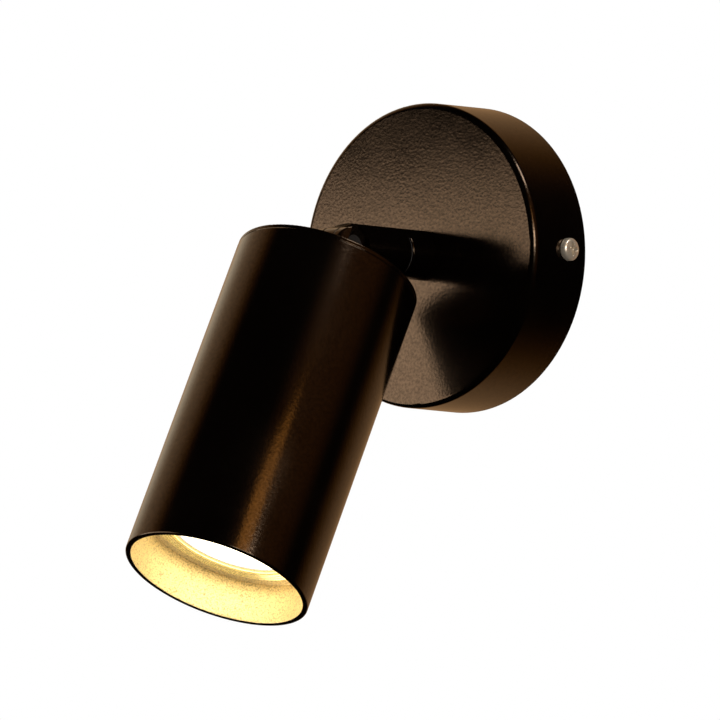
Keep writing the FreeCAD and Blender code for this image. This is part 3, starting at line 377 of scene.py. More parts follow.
def start_material(name, group, size):
    """A material whose shared group gets Object coordinates, with its tree, group and shader."""
    material = bpy.data.materials.new(name)
    material.use_nodes = True
    tree = material.node_tree
    tree.nodes.clear()
    place = add_node(tree, "ShaderNodeTexCoord")
    surface = add_node(tree, "ShaderNodeGroup", node_tree=group)
    tree.links.new(place.outputs["Object"], surface.inputs["Vector"])
    surface.inputs["Size"].default_value = size
    shader = add_node(tree, "ShaderNodeBsdfPrincipled")
    output = add_node(tree, "ShaderNodeOutputMaterial")
    tree.links.new(shader.outputs["BSDF"], output.inputs["Surface"])
    return material, tree, surface, shader


def blend_colour(tree, mask, first, second):
    """From one colour of three parts to another, by a mask."""
    return mix(tree, "RGBA", mask, (*first, 1.0), (*second, 1.0))


def add_bump(tree, shader, height, depth):
    """Relief from a height mask: depth is how deep a full step of the mask is."""
    bump = add_node(tree, "ShaderNodeBump", {"Height": height, "Distance": depth, "Strength": 1.0})
    tree.links.new(bump.outputs["Normal"], shader.inputs["Normal"])


def tinted(colour, share):
    """A colour times a share, kept within 1."""
    return tuple(min(1.0, part * share) for part in colour)


@once
def black_powder_coat():
    """Black powder coat with a warm brown sheen over fine orange peel."""
    look = bpy.context.scene.spotlight_finish
    material, tree, surface, shader = start_material("black_powder_coat", peel_group(), look.peel_size)
    patches = surface.outputs["Patches"]
    height = surface.outputs["Height"]
    deep_share = 0.7
    uneven = 0.03
    middle_shine = 0.5
    colour = blend_colour(tree, patches, tinted(look.coat_colour, deep_share), look.coat_colour)
    tree.links.new(colour, shader.inputs["Base Color"])
    gloss = spread(tree, patches, look.coat_roughness - uneven, look.coat_roughness + uneven)
    tree.links.new(gloss, shader.inputs["Roughness"])
    shader.inputs["Specular Tint"].default_value = (*look.coat_sheen, 1.0)
    shines = (middle_shine - look.peel_shine, middle_shine + look.peel_shine)
    shine = spread(tree, height, *shines, from_low=0.45, from_high=0.85)
    tree.links.new(shine, shader.inputs["Specular IOR Level"])
    add_bump(tree, shader, height, look.peel_height)
    return material


@once
def gold_coat():
    """Gold paint with a sandy grain, darker between the grains as painted shade."""
    look = bpy.context.scene.spotlight_finish
    material, tree, surface, shader = start_material("gold_coat", sand_group(), look.sand_size)
    gap_shade_mask = surface.outputs["Gap shade"]
    painted_gap_shade = 0.55
    gap_roughness = look.gold_roughness + 0.2
    metallic = 0.5
    relief = 0.1 * MM
    # painted shade: the gold darkens between the grains
    colour = blend_colour(tree, gap_shade_mask, look.gold_colour, tinted(look.gold_colour, painted_gap_shade))
    tree.links.new(colour, shader.inputs["Base Color"])
    gloss = spread(tree, gap_shade_mask, look.gold_roughness, gap_roughness, from_low=0.0, from_high=1.0)
    tree.links.new(gloss, shader.inputs["Roughness"])
    shader.inputs["Metallic"].default_value = metallic
    add_bump(tree, shader, surface.outputs["Height"], relief)
    return material


def metal(name, colour, roughness, metallic, grain, relief, spangle=0.12):
    """A metal with streaks in its gloss, and patches darker by the spangle's share."""
    material, tree, surface, shader = start_material(name, metal_group(), grain)
    darker = tinted(colour, 1.0 - spangle)
    shade = blend_colour(tree, surface.outputs["Spangle"], colour, darker)
    tree.links.new(shade, shader.inputs["Base Color"])
    smoother = roughness - 0.06
    rougher = roughness + 0.08
    gloss = spread(tree, surface.outputs["Streaks"], smoother, rougher)
    tree.links.new(gloss, shader.inputs["Roughness"])
    shader.inputs["Metallic"].default_value = metallic
    add_bump(tree, shader, surface.outputs["Height"], relief)
    return material


def moulded(name, colour, roughness, grain, relief):
    """A moulded or glazed material with a fine grain and slow changes of tone."""
    material, tree, surface, shader = start_material(name, moulding_group(), grain)
    tone = surface.outputs["Tone"]
    dull_share = 0.93
    uneven = 0.05
    shade = blend_colour(tree, tone, tinted(colour, dull_share), colour)
    tree.links.new(shade, shader.inputs["Base Color"])
    gloss = spread(tree, tone, roughness - uneven, roughness + uneven)
    tree.links.new(gloss, shader.inputs["Roughness"])
    add_bump(tree, shader, surface.outputs["Height"], relief)
    return material


@once
def zinc_steel():
    gloss = {"roughness": 0.36, "metallic": 0.85}
    return metal("zinc_steel", (0.66, 0.67, 0.66), grain=0.5 * MM, relief=0.01 * MM, **gloss)


@once
def zinc_screw():
    gloss = {"roughness": 0.30, "metallic": 0.9, "spangle": 0.05}
    return metal("zinc_screw", (0.68, 0.66, 0.60), grain=0.3 * MM, relief=0.006 * MM, **gloss)


@once
def nickel_screw():
    gloss = {"roughness": 0.32, "metallic": 0.8, "spangle": 0.05}
    return metal("nickel_screw", (0.66, 0.58, 0.46), grain=0.25 * MM, relief=0.001 * MM, **gloss)


@once
def black_screw():
    gloss = {"roughness": 0.38, "metallic": 0.6, "spangle": 0.1}
    return metal("black_screw", (0.03, 0.028, 0.026), grain=0.3 * MM, relief=0.005 * MM, **gloss)


@once
def brass_earth():
    gloss = {"roughness": 0.28, "metallic": 0.95, "spangle": 0.06}
    return metal("brass_earth", (0.78, 0.58, 0.26), grain=0.3 * MM, relief=0.005 * MM, **gloss)


@once
def lamp_shell():
    """Pale metal-coated plastic with a painted warm glow, which stands in for light on the lamp's rim."""
    look = bpy.context.scene.spotlight_finish
    colour = (0.97, 0.82, 0.42)
    gloss = {"roughness": 0.24, "metallic": 0.8, "spangle": 0.04}
    material = metal("lamp_shell", colour, grain=0.4 * MM, relief=0.004 * MM, **gloss)
    shader = material.node_tree.nodes["Principled BSDF"]
    # painted glow: the shell gives off light of its own, standing in for light falling on its rim
    shader.inputs["Emission Color"].default_value = (*look.painted_glow_colour, 1.0)
    shader.inputs["Emission Strength"].default_value = look.painted_glow_strength
    return material


@once
def terminal_plastic():
    return moulded("terminal_plastic", (0.80, 0.80, 0.77), 0.42, grain=0.35 * MM, relief=0.01 * MM)


@once
def nylon_washer():
    return moulded("nylon_washer", (0.03, 0.03, 0.03), 0.5, grain=0.2 * MM, relief=0.006 * MM)


@once
def lead_sleeve():
    return moulded("lead_sleeve", (0.80, 0.78, 0.70), 0.55, grain=0.25 * MM, relief=0.015 * MM)


@once
def holder_ceramic():
    return moulded("holder_ceramic", (0.82, 0.80, 0.75), 0.3, grain=0.5 * MM, relief=0.02 * MM)


@once
def lamp_base_plastic():
    return moulded("lamp_base_plastic", (0.86, 0.86, 0.84), 0.35, grain=0.3 * MM, relief=0.006 * MM)


@once
def lens_diffuser():
    """Frosted plastic that glows, all but the edge where its own UV map's U nears 1."""
    look = bpy.context.scene.spotlight_finish
    colour = (0.95, 0.93, 0.88)
    material = moulded("lens_diffuser", colour, 0.4, grain=0.3 * MM, relief=0.006 * MM)
    tree = material.node_tree
    shader = tree.nodes["Principled BSDF"]
    shader.inputs["Emission Color"].default_value = (*look.glow_colour, 1.0)
    turned = add_node(tree, "ShaderNodeUVMap", uv_map=TURNED_UV)
    share = add_node(tree, "ShaderNodeSeparateXYZ", {0: turned.outputs["UV"]}).outputs["X"]
    edge_glow = 0.04
    glow = spread(tree, share, look.glow_strength, edge_glow, from_low=0.93, from_high=0.955)
    tree.links.new(glow, shader.inputs["Emission Strength"])
    return material


SLOT_MATERIALS = {
    "black_powder_coat": black_powder_coat,
    "gold_coat": gold_coat,
    "zinc_steel": zinc_steel,
    "zinc_screw": zinc_screw,
    "nickel_screw": nickel_screw,
    "black_screw": black_screw,
    "brass_earth": brass_earth,
    "terminal_plastic": terminal_plastic,
    "nylon_washer": nylon_washer,
    "lead_sleeve": lead_sleeve,
    "holder_ceramic": holder_ceramic,
    "lamp_base_plastic": lamp_base_plastic,
    "lamp_shell": lamp_shell,
    "lens_diffuser": lens_diffuser,
}


# ---- settings


class SpotlightFinish(bpy.types.PropertyGroup):
    """Colours, gloss and relief of the finishes."""

    coat_colour: FloatVectorProperty(
        name="Coat", description="Colour of the powder coat",
        subtype="COLOR", size=3, min=0, max=1, default=(0.0007, 0.0004, 0.0003),
    )
    coat_sheen: FloatVectorProperty(
        name="Coat sheen", description="Tint of what the powder coat reflects",
        subtype="COLOR", size=3, min=0, max=1, default=(1.0, 0.70, 0.46),
    )
    coat_roughness: FloatProperty(
        name="Coat roughness", description="Roughness of the powder coat",
        subtype="FACTOR", min=0.05, max=1, default=0.15,
    )
    peel_size: FloatProperty(
        name="Peel size", description="Width of a pimple of the orange peel",
        unit="LENGTH", min=0.0001, default=0.9 * MM,
    )
    peel_height: FloatProperty(
        name="Peel height", description="Depth of the orange peel's relief",
        unit="LENGTH", min=0, default=0.022 * MM,
    )
    peel_shine: FloatProperty(
        name="Peel shine", description="How far the pimples' shine rises above that of the valleys",
        subtype="FACTOR", min=0, max=0.5, default=0.14,
    )
    gold_colour: FloatVectorProperty(
        name="Gold", description="Colour of the gold coat inside the mouth",
        subtype="COLOR", size=3, min=0, max=1, default=(0.97, 0.80, 0.42),
    )
    gold_roughness: FloatProperty(
        name="Gold roughness", description="Roughness of the gold coat's grains",
        subtype="FACTOR", min=0.05, max=1, default=0.35,
    )
    sand_size: FloatProperty(
        name="Sand size", description="Width of a grain of the gold coat",
        unit="LENGTH", min=0.0001, default=0.45 * MM,
    )
    glow_colour: FloatVectorProperty(
        name="Glow", description="Colour of the lamp's light",
        subtype="COLOR", size=3, min=0, max=1, default=(1.0, 0.86, 0.58),
    )
    # the lamp shell's painted glow: its rim gives off light of its own
    painted_glow_colour: FloatVectorProperty(
        name="Leak", description="Colour of the light that leaks through the lamp's rim",
        subtype="COLOR", size=3, min=0, max=1, default=(1.0, 0.70, 0.20),
    )
    painted_glow_strength: FloatProperty(
        name="Leak strength", description="Brightness of the light in the lamp's rim",
        min=0, default=0.4,
    )
    glow_strength: FloatProperty(
        name="Glow strength", description="Brightness of the lamp's face, where 1 is white",
        min=0, default=3.8,
    )


class SpotlightShape(bpy.types.PropertyGroup):
    """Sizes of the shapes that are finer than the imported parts."""

    segments: IntProperty(
        name="Segments", description="Faces round the large turned pieces",
        min=48, max=1024, default=384,
    )
    mouth_rounding: FloatProperty(
        name="Mouth rounding", description="Radius on both edges of the head's mouth",
        unit="LENGTH", min=0, default=0.4 * MM,
    )
    seam_rounding: FloatProperty(
        name="Seam rounding", description="Radius on the tube's edge at the rear cap",
        unit="LENGTH", min=0, default=0.3 * MM,
    )
    grain_spacing: FloatProperty(
        name="Grain spacing", description="Distance between points of the sandy wall",
        unit="LENGTH", min=0.0001, default=0.4 * MM,
    )
    grain_height: FloatProperty(
        name="Grain height", description="Height of the sandy wall's lumps",
        unit="LENGTH", min=0, default=0.025 * MM,
    )
    groove_depth: FloatProperty(
        name="Groove depth", description="Depth of the turned grooves in the front ring",
        unit="LENGTH", min=0, default=0.12 * MM,
    )
    bead_depth: FloatProperty(
        name="Bead depth", description="Depth of the valleys between the lamp rim's beads",
        unit="LENGTH", min=0, default=0.4 * MM,
    )
    recess_depth: FloatProperty(
        name="Recess depth", description="Depth of the cross in the side screws",
        unit="LENGTH", min=0, default=1.3 * MM,
    )
    thread_pitch: FloatProperty(
        name="Thread pitch", description="Pitch of the hollow stem's thread",
        unit="LENGTH", min=0.0002, default=1.0 * MM,
    )


class SpotlightStage(bpy.types.PropertyGroup):
    """Camera, lamps and background."""

    camera_azimuth: FloatProperty(
        name="Azimuth", description="How far the camera stands round to the right",
        subtype="ANGLE", default=math.radians(41.31),
    )
    camera_elevation: FloatProperty(
        name="Elevation", description="How far the camera stands above the object",
        subtype="ANGLE", default=math.radians(-5.07),
    )
    camera_distance: FloatProperty(
        name="Distance", description="From the camera to the canopy's face",
        unit="LENGTH", min=0.1, default=2.04,
    )
    camera_lens: FloatProperty(
        name="Lens", description="Focal length in millimetres on a 36 mm sensor",
        min=10, default=314.5,
    )
    aim_across: FloatProperty(
        name="Aim across", description="Where the camera aims, right of the canopy's centre",
        unit="LENGTH", default=-18.63 * MM,
    )
    aim_up: FloatProperty(
        name="Aim up", description="Where the camera aims, above the canopy's centre",
        unit="LENGTH", default=-33.93 * MM,
    )
    floor_drop: FloatProperty(
        name="Floor drop", description="From the object's lowest point down to the floor",
        unit="LENGTH", min=0, default=0.15,
    )
    room_level: FloatProperty(
        name="Room level", description="Soft light from all round",
        min=0, default=0.35,
    )
    backdrop_pale: FloatVectorProperty(
        name="Backdrop pale", description="Tint of the backdrop's brightest part in reflections",
        subtype="COLOR", size=3, min=0, max=1, default=(1.0, 0.80, 0.56),
    )
    backdrop_deep: FloatVectorProperty(
        name="Backdrop deep", description="Tint of the backdrop in reflections where it fades",
        subtype="COLOR", size=3, min=0, max=1, default=(1.0, 0.42, 0.08),
    )
    backdrop_level: FloatProperty(
        name="Backdrop level", description="How bright the backdrop is in reflections",
        min=0, default=1.0,
    )


# ---- operators


class SPOTLIGHT_OT_packed_parts(bpy.types.Operator):
    """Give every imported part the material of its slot"""

    bl_idname = "spotlight.packed_parts"
    bl_label = "Finish Packed Parts"

    def execute(self, context):
        for subpart in frame["record"]["subparts"]:
            node = frame["nodes"][subpart["node"]]
            node.data.materials.clear()
            node.data.materials.append(SLOT_MATERIALS[subpart["material_slot"]]())
        return {"FINISHED"}


def thread_points(axis, radius, start, end, pitch, depth, segments, steps_a_turn=8):
    """A thread from level start to end, as a grid of rings.

    The radius is the outer radius less depth times a valley that rises and falls once a pitch,
    is shifted along the axis by the turn's share of a pitch, and fades out at both ends.
    """
    rows = int(round((end - start) / pitch * steps_a_turn)) + 1
    level = np.linspace(start, end, rows)[:, None]
    turn = turns(segments)
    phase = (level - start) / pitch - turn / FULL_TURN
    valley = 1 - np.abs(2 * (phase % 1.0) - 1)
    fade = np.clip((end - level) / pitch, 0, 1) * np.clip((level - start) / pitch, 0, 1)
    return axis.points(radius - depth * valley * fade, turn, level)


def pan_head_points(axis, wide, base, height, recess_depth, segments, rings=64):
    """A pan head's top with a cross recess, as rings from its foot to its middle.

    The side rises straight, turns over in a rounded shoulder and goes on as a low dome. The
    recess falls by the depth wherever a point lies in either arm of a cross, with sloping
    walls, and its arms get narrower towards their ends.
    """
    shoulder = 0.5 * height
    dome_share = 0.25
    arc_points = 10
    share = np.linspace(0, 1, rings)
    arc = np.linspace(0, math.pi / 2, arc_points)
    rim_radius = wide - shoulder + shoulder * np.cos(arc)
    rim_level = base + height - shoulder * (1 + dome_share - np.sin(arc))
    inner = (wide - shoulder) * (1 - share[1:])
    dome = base + height - dome_share * shoulder * (inner / (wide - shoulder)) ** 2
    radius = np.concatenate([[wide], rim_radius, inner])[:, None]
    level = np.concatenate([[base], rim_level, dome])[:, None]
    turn = turns(segments)
    x = np.abs(radius * np.cos(turn))
    y = np.abs(radius * np.sin(turn))
    reach = 0.60 * wide
    side_wall = 0.08 * wide
    end_wall = 2.2 * side_wall
    mean_half = 0.20 * wide
    widening = 1.15
    narrowing = 0.40

    def arm(side, along):
        half = mean_half * (widening - narrowing * along / reach)
        across = np.clip((half - side) / side_wall, 0, 1)
        return across * np.clip((reach - along) / end_wall, 0, 1)

    fall = np.maximum(arm(x, y), arm(y, x))
    return axis.points(radius, turn, level - recess_depth * fall)


def joined_grids(grids):
    """Stack grids of equal columns, and close the first and last ring with a pole."""
    points = np.concatenate(grids)
    first = np.repeat(points[0].mean(0)[None, None], points.shape[1], 1)
    last = np.repeat(points[-1].mean(0)[None, None], points.shape[1], 1)
    points = np.concatenate([first, points, last])
    return points, grid_faces(points.shape[0], points.shape[1])


def hex_nut_mesh(name, axis, flats, bore, back, front, materials, segments=192):
    """A hexagonal nut whose corners are turned off at both ends.

    A ring's radius is that of the hexagon, flats / 2 / cos(turn from the nearest flat), but no
    more than the ring's own limit, which is lower at the ends.
    """
    turn = turns(segments)
    sixth = FULL_TURN / 6
    apothem = flats / 2
    hexagon = apothem / np.cos((turn + sixth / 2) % sixth - sixth / 2)
    corner = apothem / math.cos(sixth / 2)
    bevel = (corner - apothem) * 0.6
    lead_in = 0.06 * flats
    face = apothem * 0.96
    rings = [
        (bore, back + lead_in),
        (bore + lead_in, back),
        (face, back),
        (corner, back + bevel),
        (corner, front - bevel),
        (face, front),
        (bore + lead_in, front),
        (bore, front - lead_in),
    ]
    limit, level = np.array(rings).T[..., None]
    points = axis.points(np.minimum(limit, hexagon), turn, level)
    faces = grid_faces(len(rings), segments, rows_close=True)
    return build_mesh(name, points, faces, materials)


def merged_copy(node, material):
    """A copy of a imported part's mesh, with doubled points merged and flat faces joined."""
    mesh = frame["nodes"][node].data.copy()
    mesh.name = node + "_softened"
    shell = bmesh.new()
    shell.from_mesh(mesh)
    bmesh.ops.remove_doubles(shell, verts=shell.verts, dist=1e-6)
    flat = math.radians(0.5)
    bmesh.ops.dissolve_limit(shell, angle_limit=flat, verts=shell.verts, edges=shell.edges)
    shell.to_mesh(mesh)
    shell.free()
    if mesh.attributes.get("custom_normal"):
        mesh.attributes.remove(mesh.attributes["custom_normal"])
    mesh.materials.clear()
    mesh.materials.append(material)
    mesh.shade_smooth()
    return mesh


def add_softened(node, width, body, slot):
    """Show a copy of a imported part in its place, its edges rounded over a width."""
    mesh = merged_copy(node, SLOT_MATERIALS[slot]())
    piece = add_piece(node + "_softened", mesh, body, [node])
    bevel = piece.modifiers.new("rounded_edges", "BEVEL")
    bevel.width = width
    bevel.segments = 2
    bevel.limit_method = "ANGLE"
    bevel.angle_limit = SHARP_ANGLE
    bevel.harden_normals = True


class SPOTLIGHT_OT_side_screws(bpy.types.Operator):
    """Make the two pan-head screws with cross recesses in the canopy's sides"""

    bl_idname = "spotlight.side_screws"
    bl_label = "Side Screws"

    def execute(self, context):
        depth = context.scene.spotlight_shape.recess_depth
        low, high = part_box("canopy_screws")
        middle = (low + high) / 2
        wide = (high.z - low.z) / 2
        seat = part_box("canopy")[1].x
        shank_share = 0.54
        length = 9.0 * MM
        pitch = 0.7 * MM
        thread_depth = 0.3 * MM
        segments = 144
        points = []
        faces = []
        for side in (1, -1):
            axis = Axis((0, middle.y, middle.z), (side, 0, 0), (0, 1, 0))
            ends = (seat - length, seat)
            thread = thread_points(axis, wide * shank_share, *ends, pitch, thread_depth, segments)
            foot = axis.points(np.array([[wide]]), turns(segments), np.array([[seat]]))
            head = pan_head_points(axis, wide, seat, high.x - seat, depth, segments)
            screw, screw_faces = joined_grids([thread, foot, head[1:]])
            faces.append(screw_faces + sum(len(part) for part in points))
            points.append(screw.reshape(-1, 3))
        mesh = build_mesh(
            "side_screws", np.concatenate(points), np.concatenate(faces), [nickel_screw()]
        )
        add_piece("side_screws", mesh, "root", ["canopy_screws"])
        return {"FINISHED"}


class SPOTLIGHT_OT_wall_fittings(bpy.types.Operator):
    """Round the edges of the bracket, the terminal block and their screws"""

    bl_idname = "spotlight.wall_fittings"
    bl_label = "Bracket and Terminals"

    def execute(self, context):
        add_softened("wall_bracket", 0.25 * MM, "root", "zinc_steel")
        add_softened("terminal_block", 0.30 * MM, "root", "terminal_plastic")
        add_softened("terminal_screws", 0.12 * MM, "root", "zinc_screw")
        add_softened("earth_screw", 0.25 * MM, "root", "brass_earth")
        return {"FINISHED"}


class SPOTLIGHT_OT_stem(bpy.types.Operator):
    """Cut the thread on the hollow stem, and make its hexagonal nut"""

    bl_idname = "spotlight.stem"
    bl_label = "Stem and Nut"

    def execute(self, context):
        pitch = context.scene.spotlight_shape.thread_pitch
        thread_depth = 0.4 * MM
        segments = 96
        back, front, bore, radius = WALL_AXIS.reach("hollow_stem")
        thread = thread_points(WALL_AXIS, radius, back, front, pitch, thread_depth, segments)
        inner = np.array([[bore, front], [bore, back]])
        points = np.concatenate([thread, turned_grid(WALL_AXIS, inner, segments)])
        faces = grid_faces(len(points), segments, rows_close=True)
        mesh = build_mesh("stem_threaded", points, faces, [zinc_steel()])
        add_piece("stem_threaded", mesh, "root", ["hollow_stem"])
        nut_back, nut_front, hole, corner = WALL_AXIS.reach("stem_nut")
        flats = corner * math.sqrt(3)
        mesh = hex_nut_mesh(
            "stem_nut_bevelled", WALL_AXIS, flats, hole, nut_back, nut_front, [zinc_steel()]
        )
        add_piece("stem_nut_bevelled", mesh, "root", ["stem_nut"])
        return {"FINISHED"}


class SPOTLIGHT_OT_head_tube(bpy.types.Operator):
    """Turn the head's tube, black outside and sandy gold inside its mouth"""

    bl_idname = "spotlight.head_tube"
    bl_label = "Head Tube"

    def execute(self, context):
        shape = context.scene.spotlight_shape
        back, front, bore, outside = HEAD_AXIS.reach("head_tube")
        ring_front = HEAD_AXIS.reach("front_ring")[1]
        mouth = shape.mouth_rounding
        corners = [
            (bore, back, 0),
            (outside, back, shape.seam_rounding),
            (outside, front, mouth),
            (bore, front, mouth),
        ]
        outline = rounded_outline(corners)
        rows = int((front - mouth - ring_front) / shape.grain_spacing)
        wall = np.linspace(front - mouth, ring_front, rows)[1:]
        wall = np.column_stack([np.full(rows - 1, bore), wall])
        outline = np.concatenate([outline, wall])
        columns = int(FULL_TURN * bore / shape.grain_spacing)
        points = turned_grid(HEAD_AXIS, outline, columns)
        first = len(outline) - len(wall)
        lumps = self.lumps(len(wall), columns) * shape.grain_height
        inward = HEAD_AXIS.points(lumps, turns(columns), 0.0)
        points[first:] -= inward - HEAD_AXIS.start
        faces = grid_faces(len(outline), columns, rows_close=True)
        level = outline[faces[:, 0] // columns]
        golden = (level[:, 0] < bore + mouth / 2) & (level[:, 1] > ring_front - mouth)
        materials = [black_powder_coat(), gold_coat()]
        mesh = build_mesh("head_tube_coated", points, faces, materials, golden)
        add_piece("head_tube_coated", mesh, "head", ["head_tube"])
        return {"FINISHED"}

    def lumps(self, rows, columns):
        """Random heights from 0 to 1, each averaged with its neighbours on two sides."""
        heights = np.random.default_rng(7).random((rows, columns))
        near = heights + np.roll(heights, 1, 1) + np.roll(heights, 1, 0)
        return near / 3


class SPOTLIGHT_OT_front_ring(bpy.types.Operator):
    """Turn the ring between lamp and tube, with fine grooves in its face"""

    bl_idname = "spotlight.front_ring"
    bl_label = "Front Ring"

    def execute(self, context):
        shape = context.scene.spotlight_shape
        back, front, inside, outside = HEAD_AXIS.reach("front_ring")
        plate = 1.0 * MM
        skirt = 0.8 * MM
        edge = 0.1 * MM
        brow = 0.15 * MM
        groove_shares = (0.35, 0.75)
        corners = [(inside, front - plate, 0), (inside, front, edge)]
        for share in groove_shares:
            middle = inside + share * (outside - inside)
            corners += groove(middle, front, shape.groove_depth)
        corners += [
            (outside, front, brow),
            (outside, back, edge),
            (outside - skirt, back, edge),
            (outside - skirt, front - plate, 0),
        ]
        around = shape.segments
        mesh = turned_mesh("front_ring_turned", HEAD_AXIS, corners, around, gold_coat(), steps=3)
        add_piece("front_ring_turned", mesh, "head", ["front_ring"])
        return {"FINISHED"}


def groove(middle, level, depth):
    """Three outline corners of a V groove in a face, as wide as twice its depth."""
    return [
        (middle - depth, level, 0),
        (middle, level - depth, 0),
        (middle + depth, level, 0),
    ]


class SPOTLIGHT_OT_lamp_shell(bpy.types.Operator):
    """Turn the reflector lamp's shell, with stepped rings in its rim"""

    bl_idname = "spotlight.lamp_shell"
    bl_label = "Lamp Shell"

    def execute(self, context):
        shape = context.scene.spotlight_shape
        back, front, core, outside = HEAD_AXIS.reach("lamp_body")
        lens_back, _, _, lens_radius = HEAD_AXIS.reach("lamp_lens")
        lens_gap = 0.15 * MM
        mouth = lens_radius + lens_gap
        wall = 1.4 * MM
        rim = 5.0 * MM
        neck = 15.5 * MM
        bead_shares = (0.2, 0.45, 0.7)
        corners = [
            (core, back, 0),
            (neck, back, 0.5 * MM),
            (outside, front - rim, 1.0 * MM),
            (outside, front, 0.3 * MM),
        ]
        for share in bead_shares:
            place = outside - share * (outside - mouth)
            corners += reversed(groove(place, front, shape.bead_depth))
        corners += [
            (mouth, front, 0.2 * MM),
            (mouth, lens_back, 0),
            (outside - 2 * wall, front - rim, 0),
            (neck - wall, back + wall, 0),
            (core, back + wall, 0),
        ]
        around = shape.segments
        mesh = turned_mesh("lamp_shell_turned", HEAD_AXIS, corners, around, lamp_shell(), steps=4)
        add_piece("lamp_shell_turned", mesh, "head", ["lamp_body"])
        return {"FINISHED"}


class SPOTLIGHT_OT_lens(bpy.types.Operator):
    """Mould the lamp's glowing lens, slightly domed, with a ripple of rings"""

    bl_idname = "spotlight.lens"
    bl_label = "Lens"

    def execute(self, context):
        back, front, _, outside = HEAD_AXIS.reach("lamp_lens")
        rise = 0.3 * MM
        ripple = 0.04 * MM
        ring_step = 2.0 * MM
        bevel = 0.2 * MM
        rings = 90
        radius = np.linspace(0, outside, rings)
        wave = np.cos(FULL_TURN * radius / ring_step)
        level = front - rise + rise * (1 - (radius / outside) ** 2) + ripple * (wave - 1)
        face = np.column_stack([radius, level])
        edge = [(outside, back + bevel), (outside - bevel, back), (0, back)]
        outline = np.concatenate([face, edge])
        columns = context.scene.spotlight_shape.segments // 2
        points = turned_grid(HEAD_AXIS, outline, columns)
        faces = grid_faces(len(outline), columns)
        mesh = build_mesh("lens_moulded", points, faces, [lens_diffuser()])
        lay_turned_uv(mesh, HEAD_AXIS, outside)
        add_piece("lens_moulded", mesh, "head", ["lamp_lens"])
        return {"FINISHED"}


# each glow: azimuth, elevation, cosines of the angles where it starts and is full, level;
# a level below 0 darkens the others
GLOWS = (
    (-95, 25, 0.74, 1.0, 0.60),
    (-150, 0, 0.38, 0.85, 0.42),
    (95, 22, 0.74, 1.0, 0.22),
    (-110, -52, 0.80, 0.97, -0.42),
)
# tints of the softboxes
WARM = (1.0, 0.84, 0.68)
AMBER = (1.0, 0.52, 0.12)
NEUTRAL = (1.0, 0.97, 0.94)
# each softbox: name, azimuth, elevation, distance, width, height, brightness, whether gloss
# reflects it, tint
SOFTBOXES = (
    ("left_softbox", -43, -10, 0.60, 0.46, 0.46, 3.9, True, WARM),
    ("right_softbox", 69, 21, 0.80, 0.18, 0.24, 2.6, True, AMBER),
    ("edge_strip", 66, 11, 1.60, 0.80, 0.36, 12.0, True, NEUTRAL),
    ("top_strip", 99, 52, 1.00, 0.42, 0.24, 10.0, True, NEUTRAL),
    ("front_fill", 15, 45, 1.20, 0.90, 0.90, 1.2, False, NEUTRAL),
    ("back_fill", 200, 35, 1.20, 0.90, 0.90, 0.9, False, NEUTRAL),
)


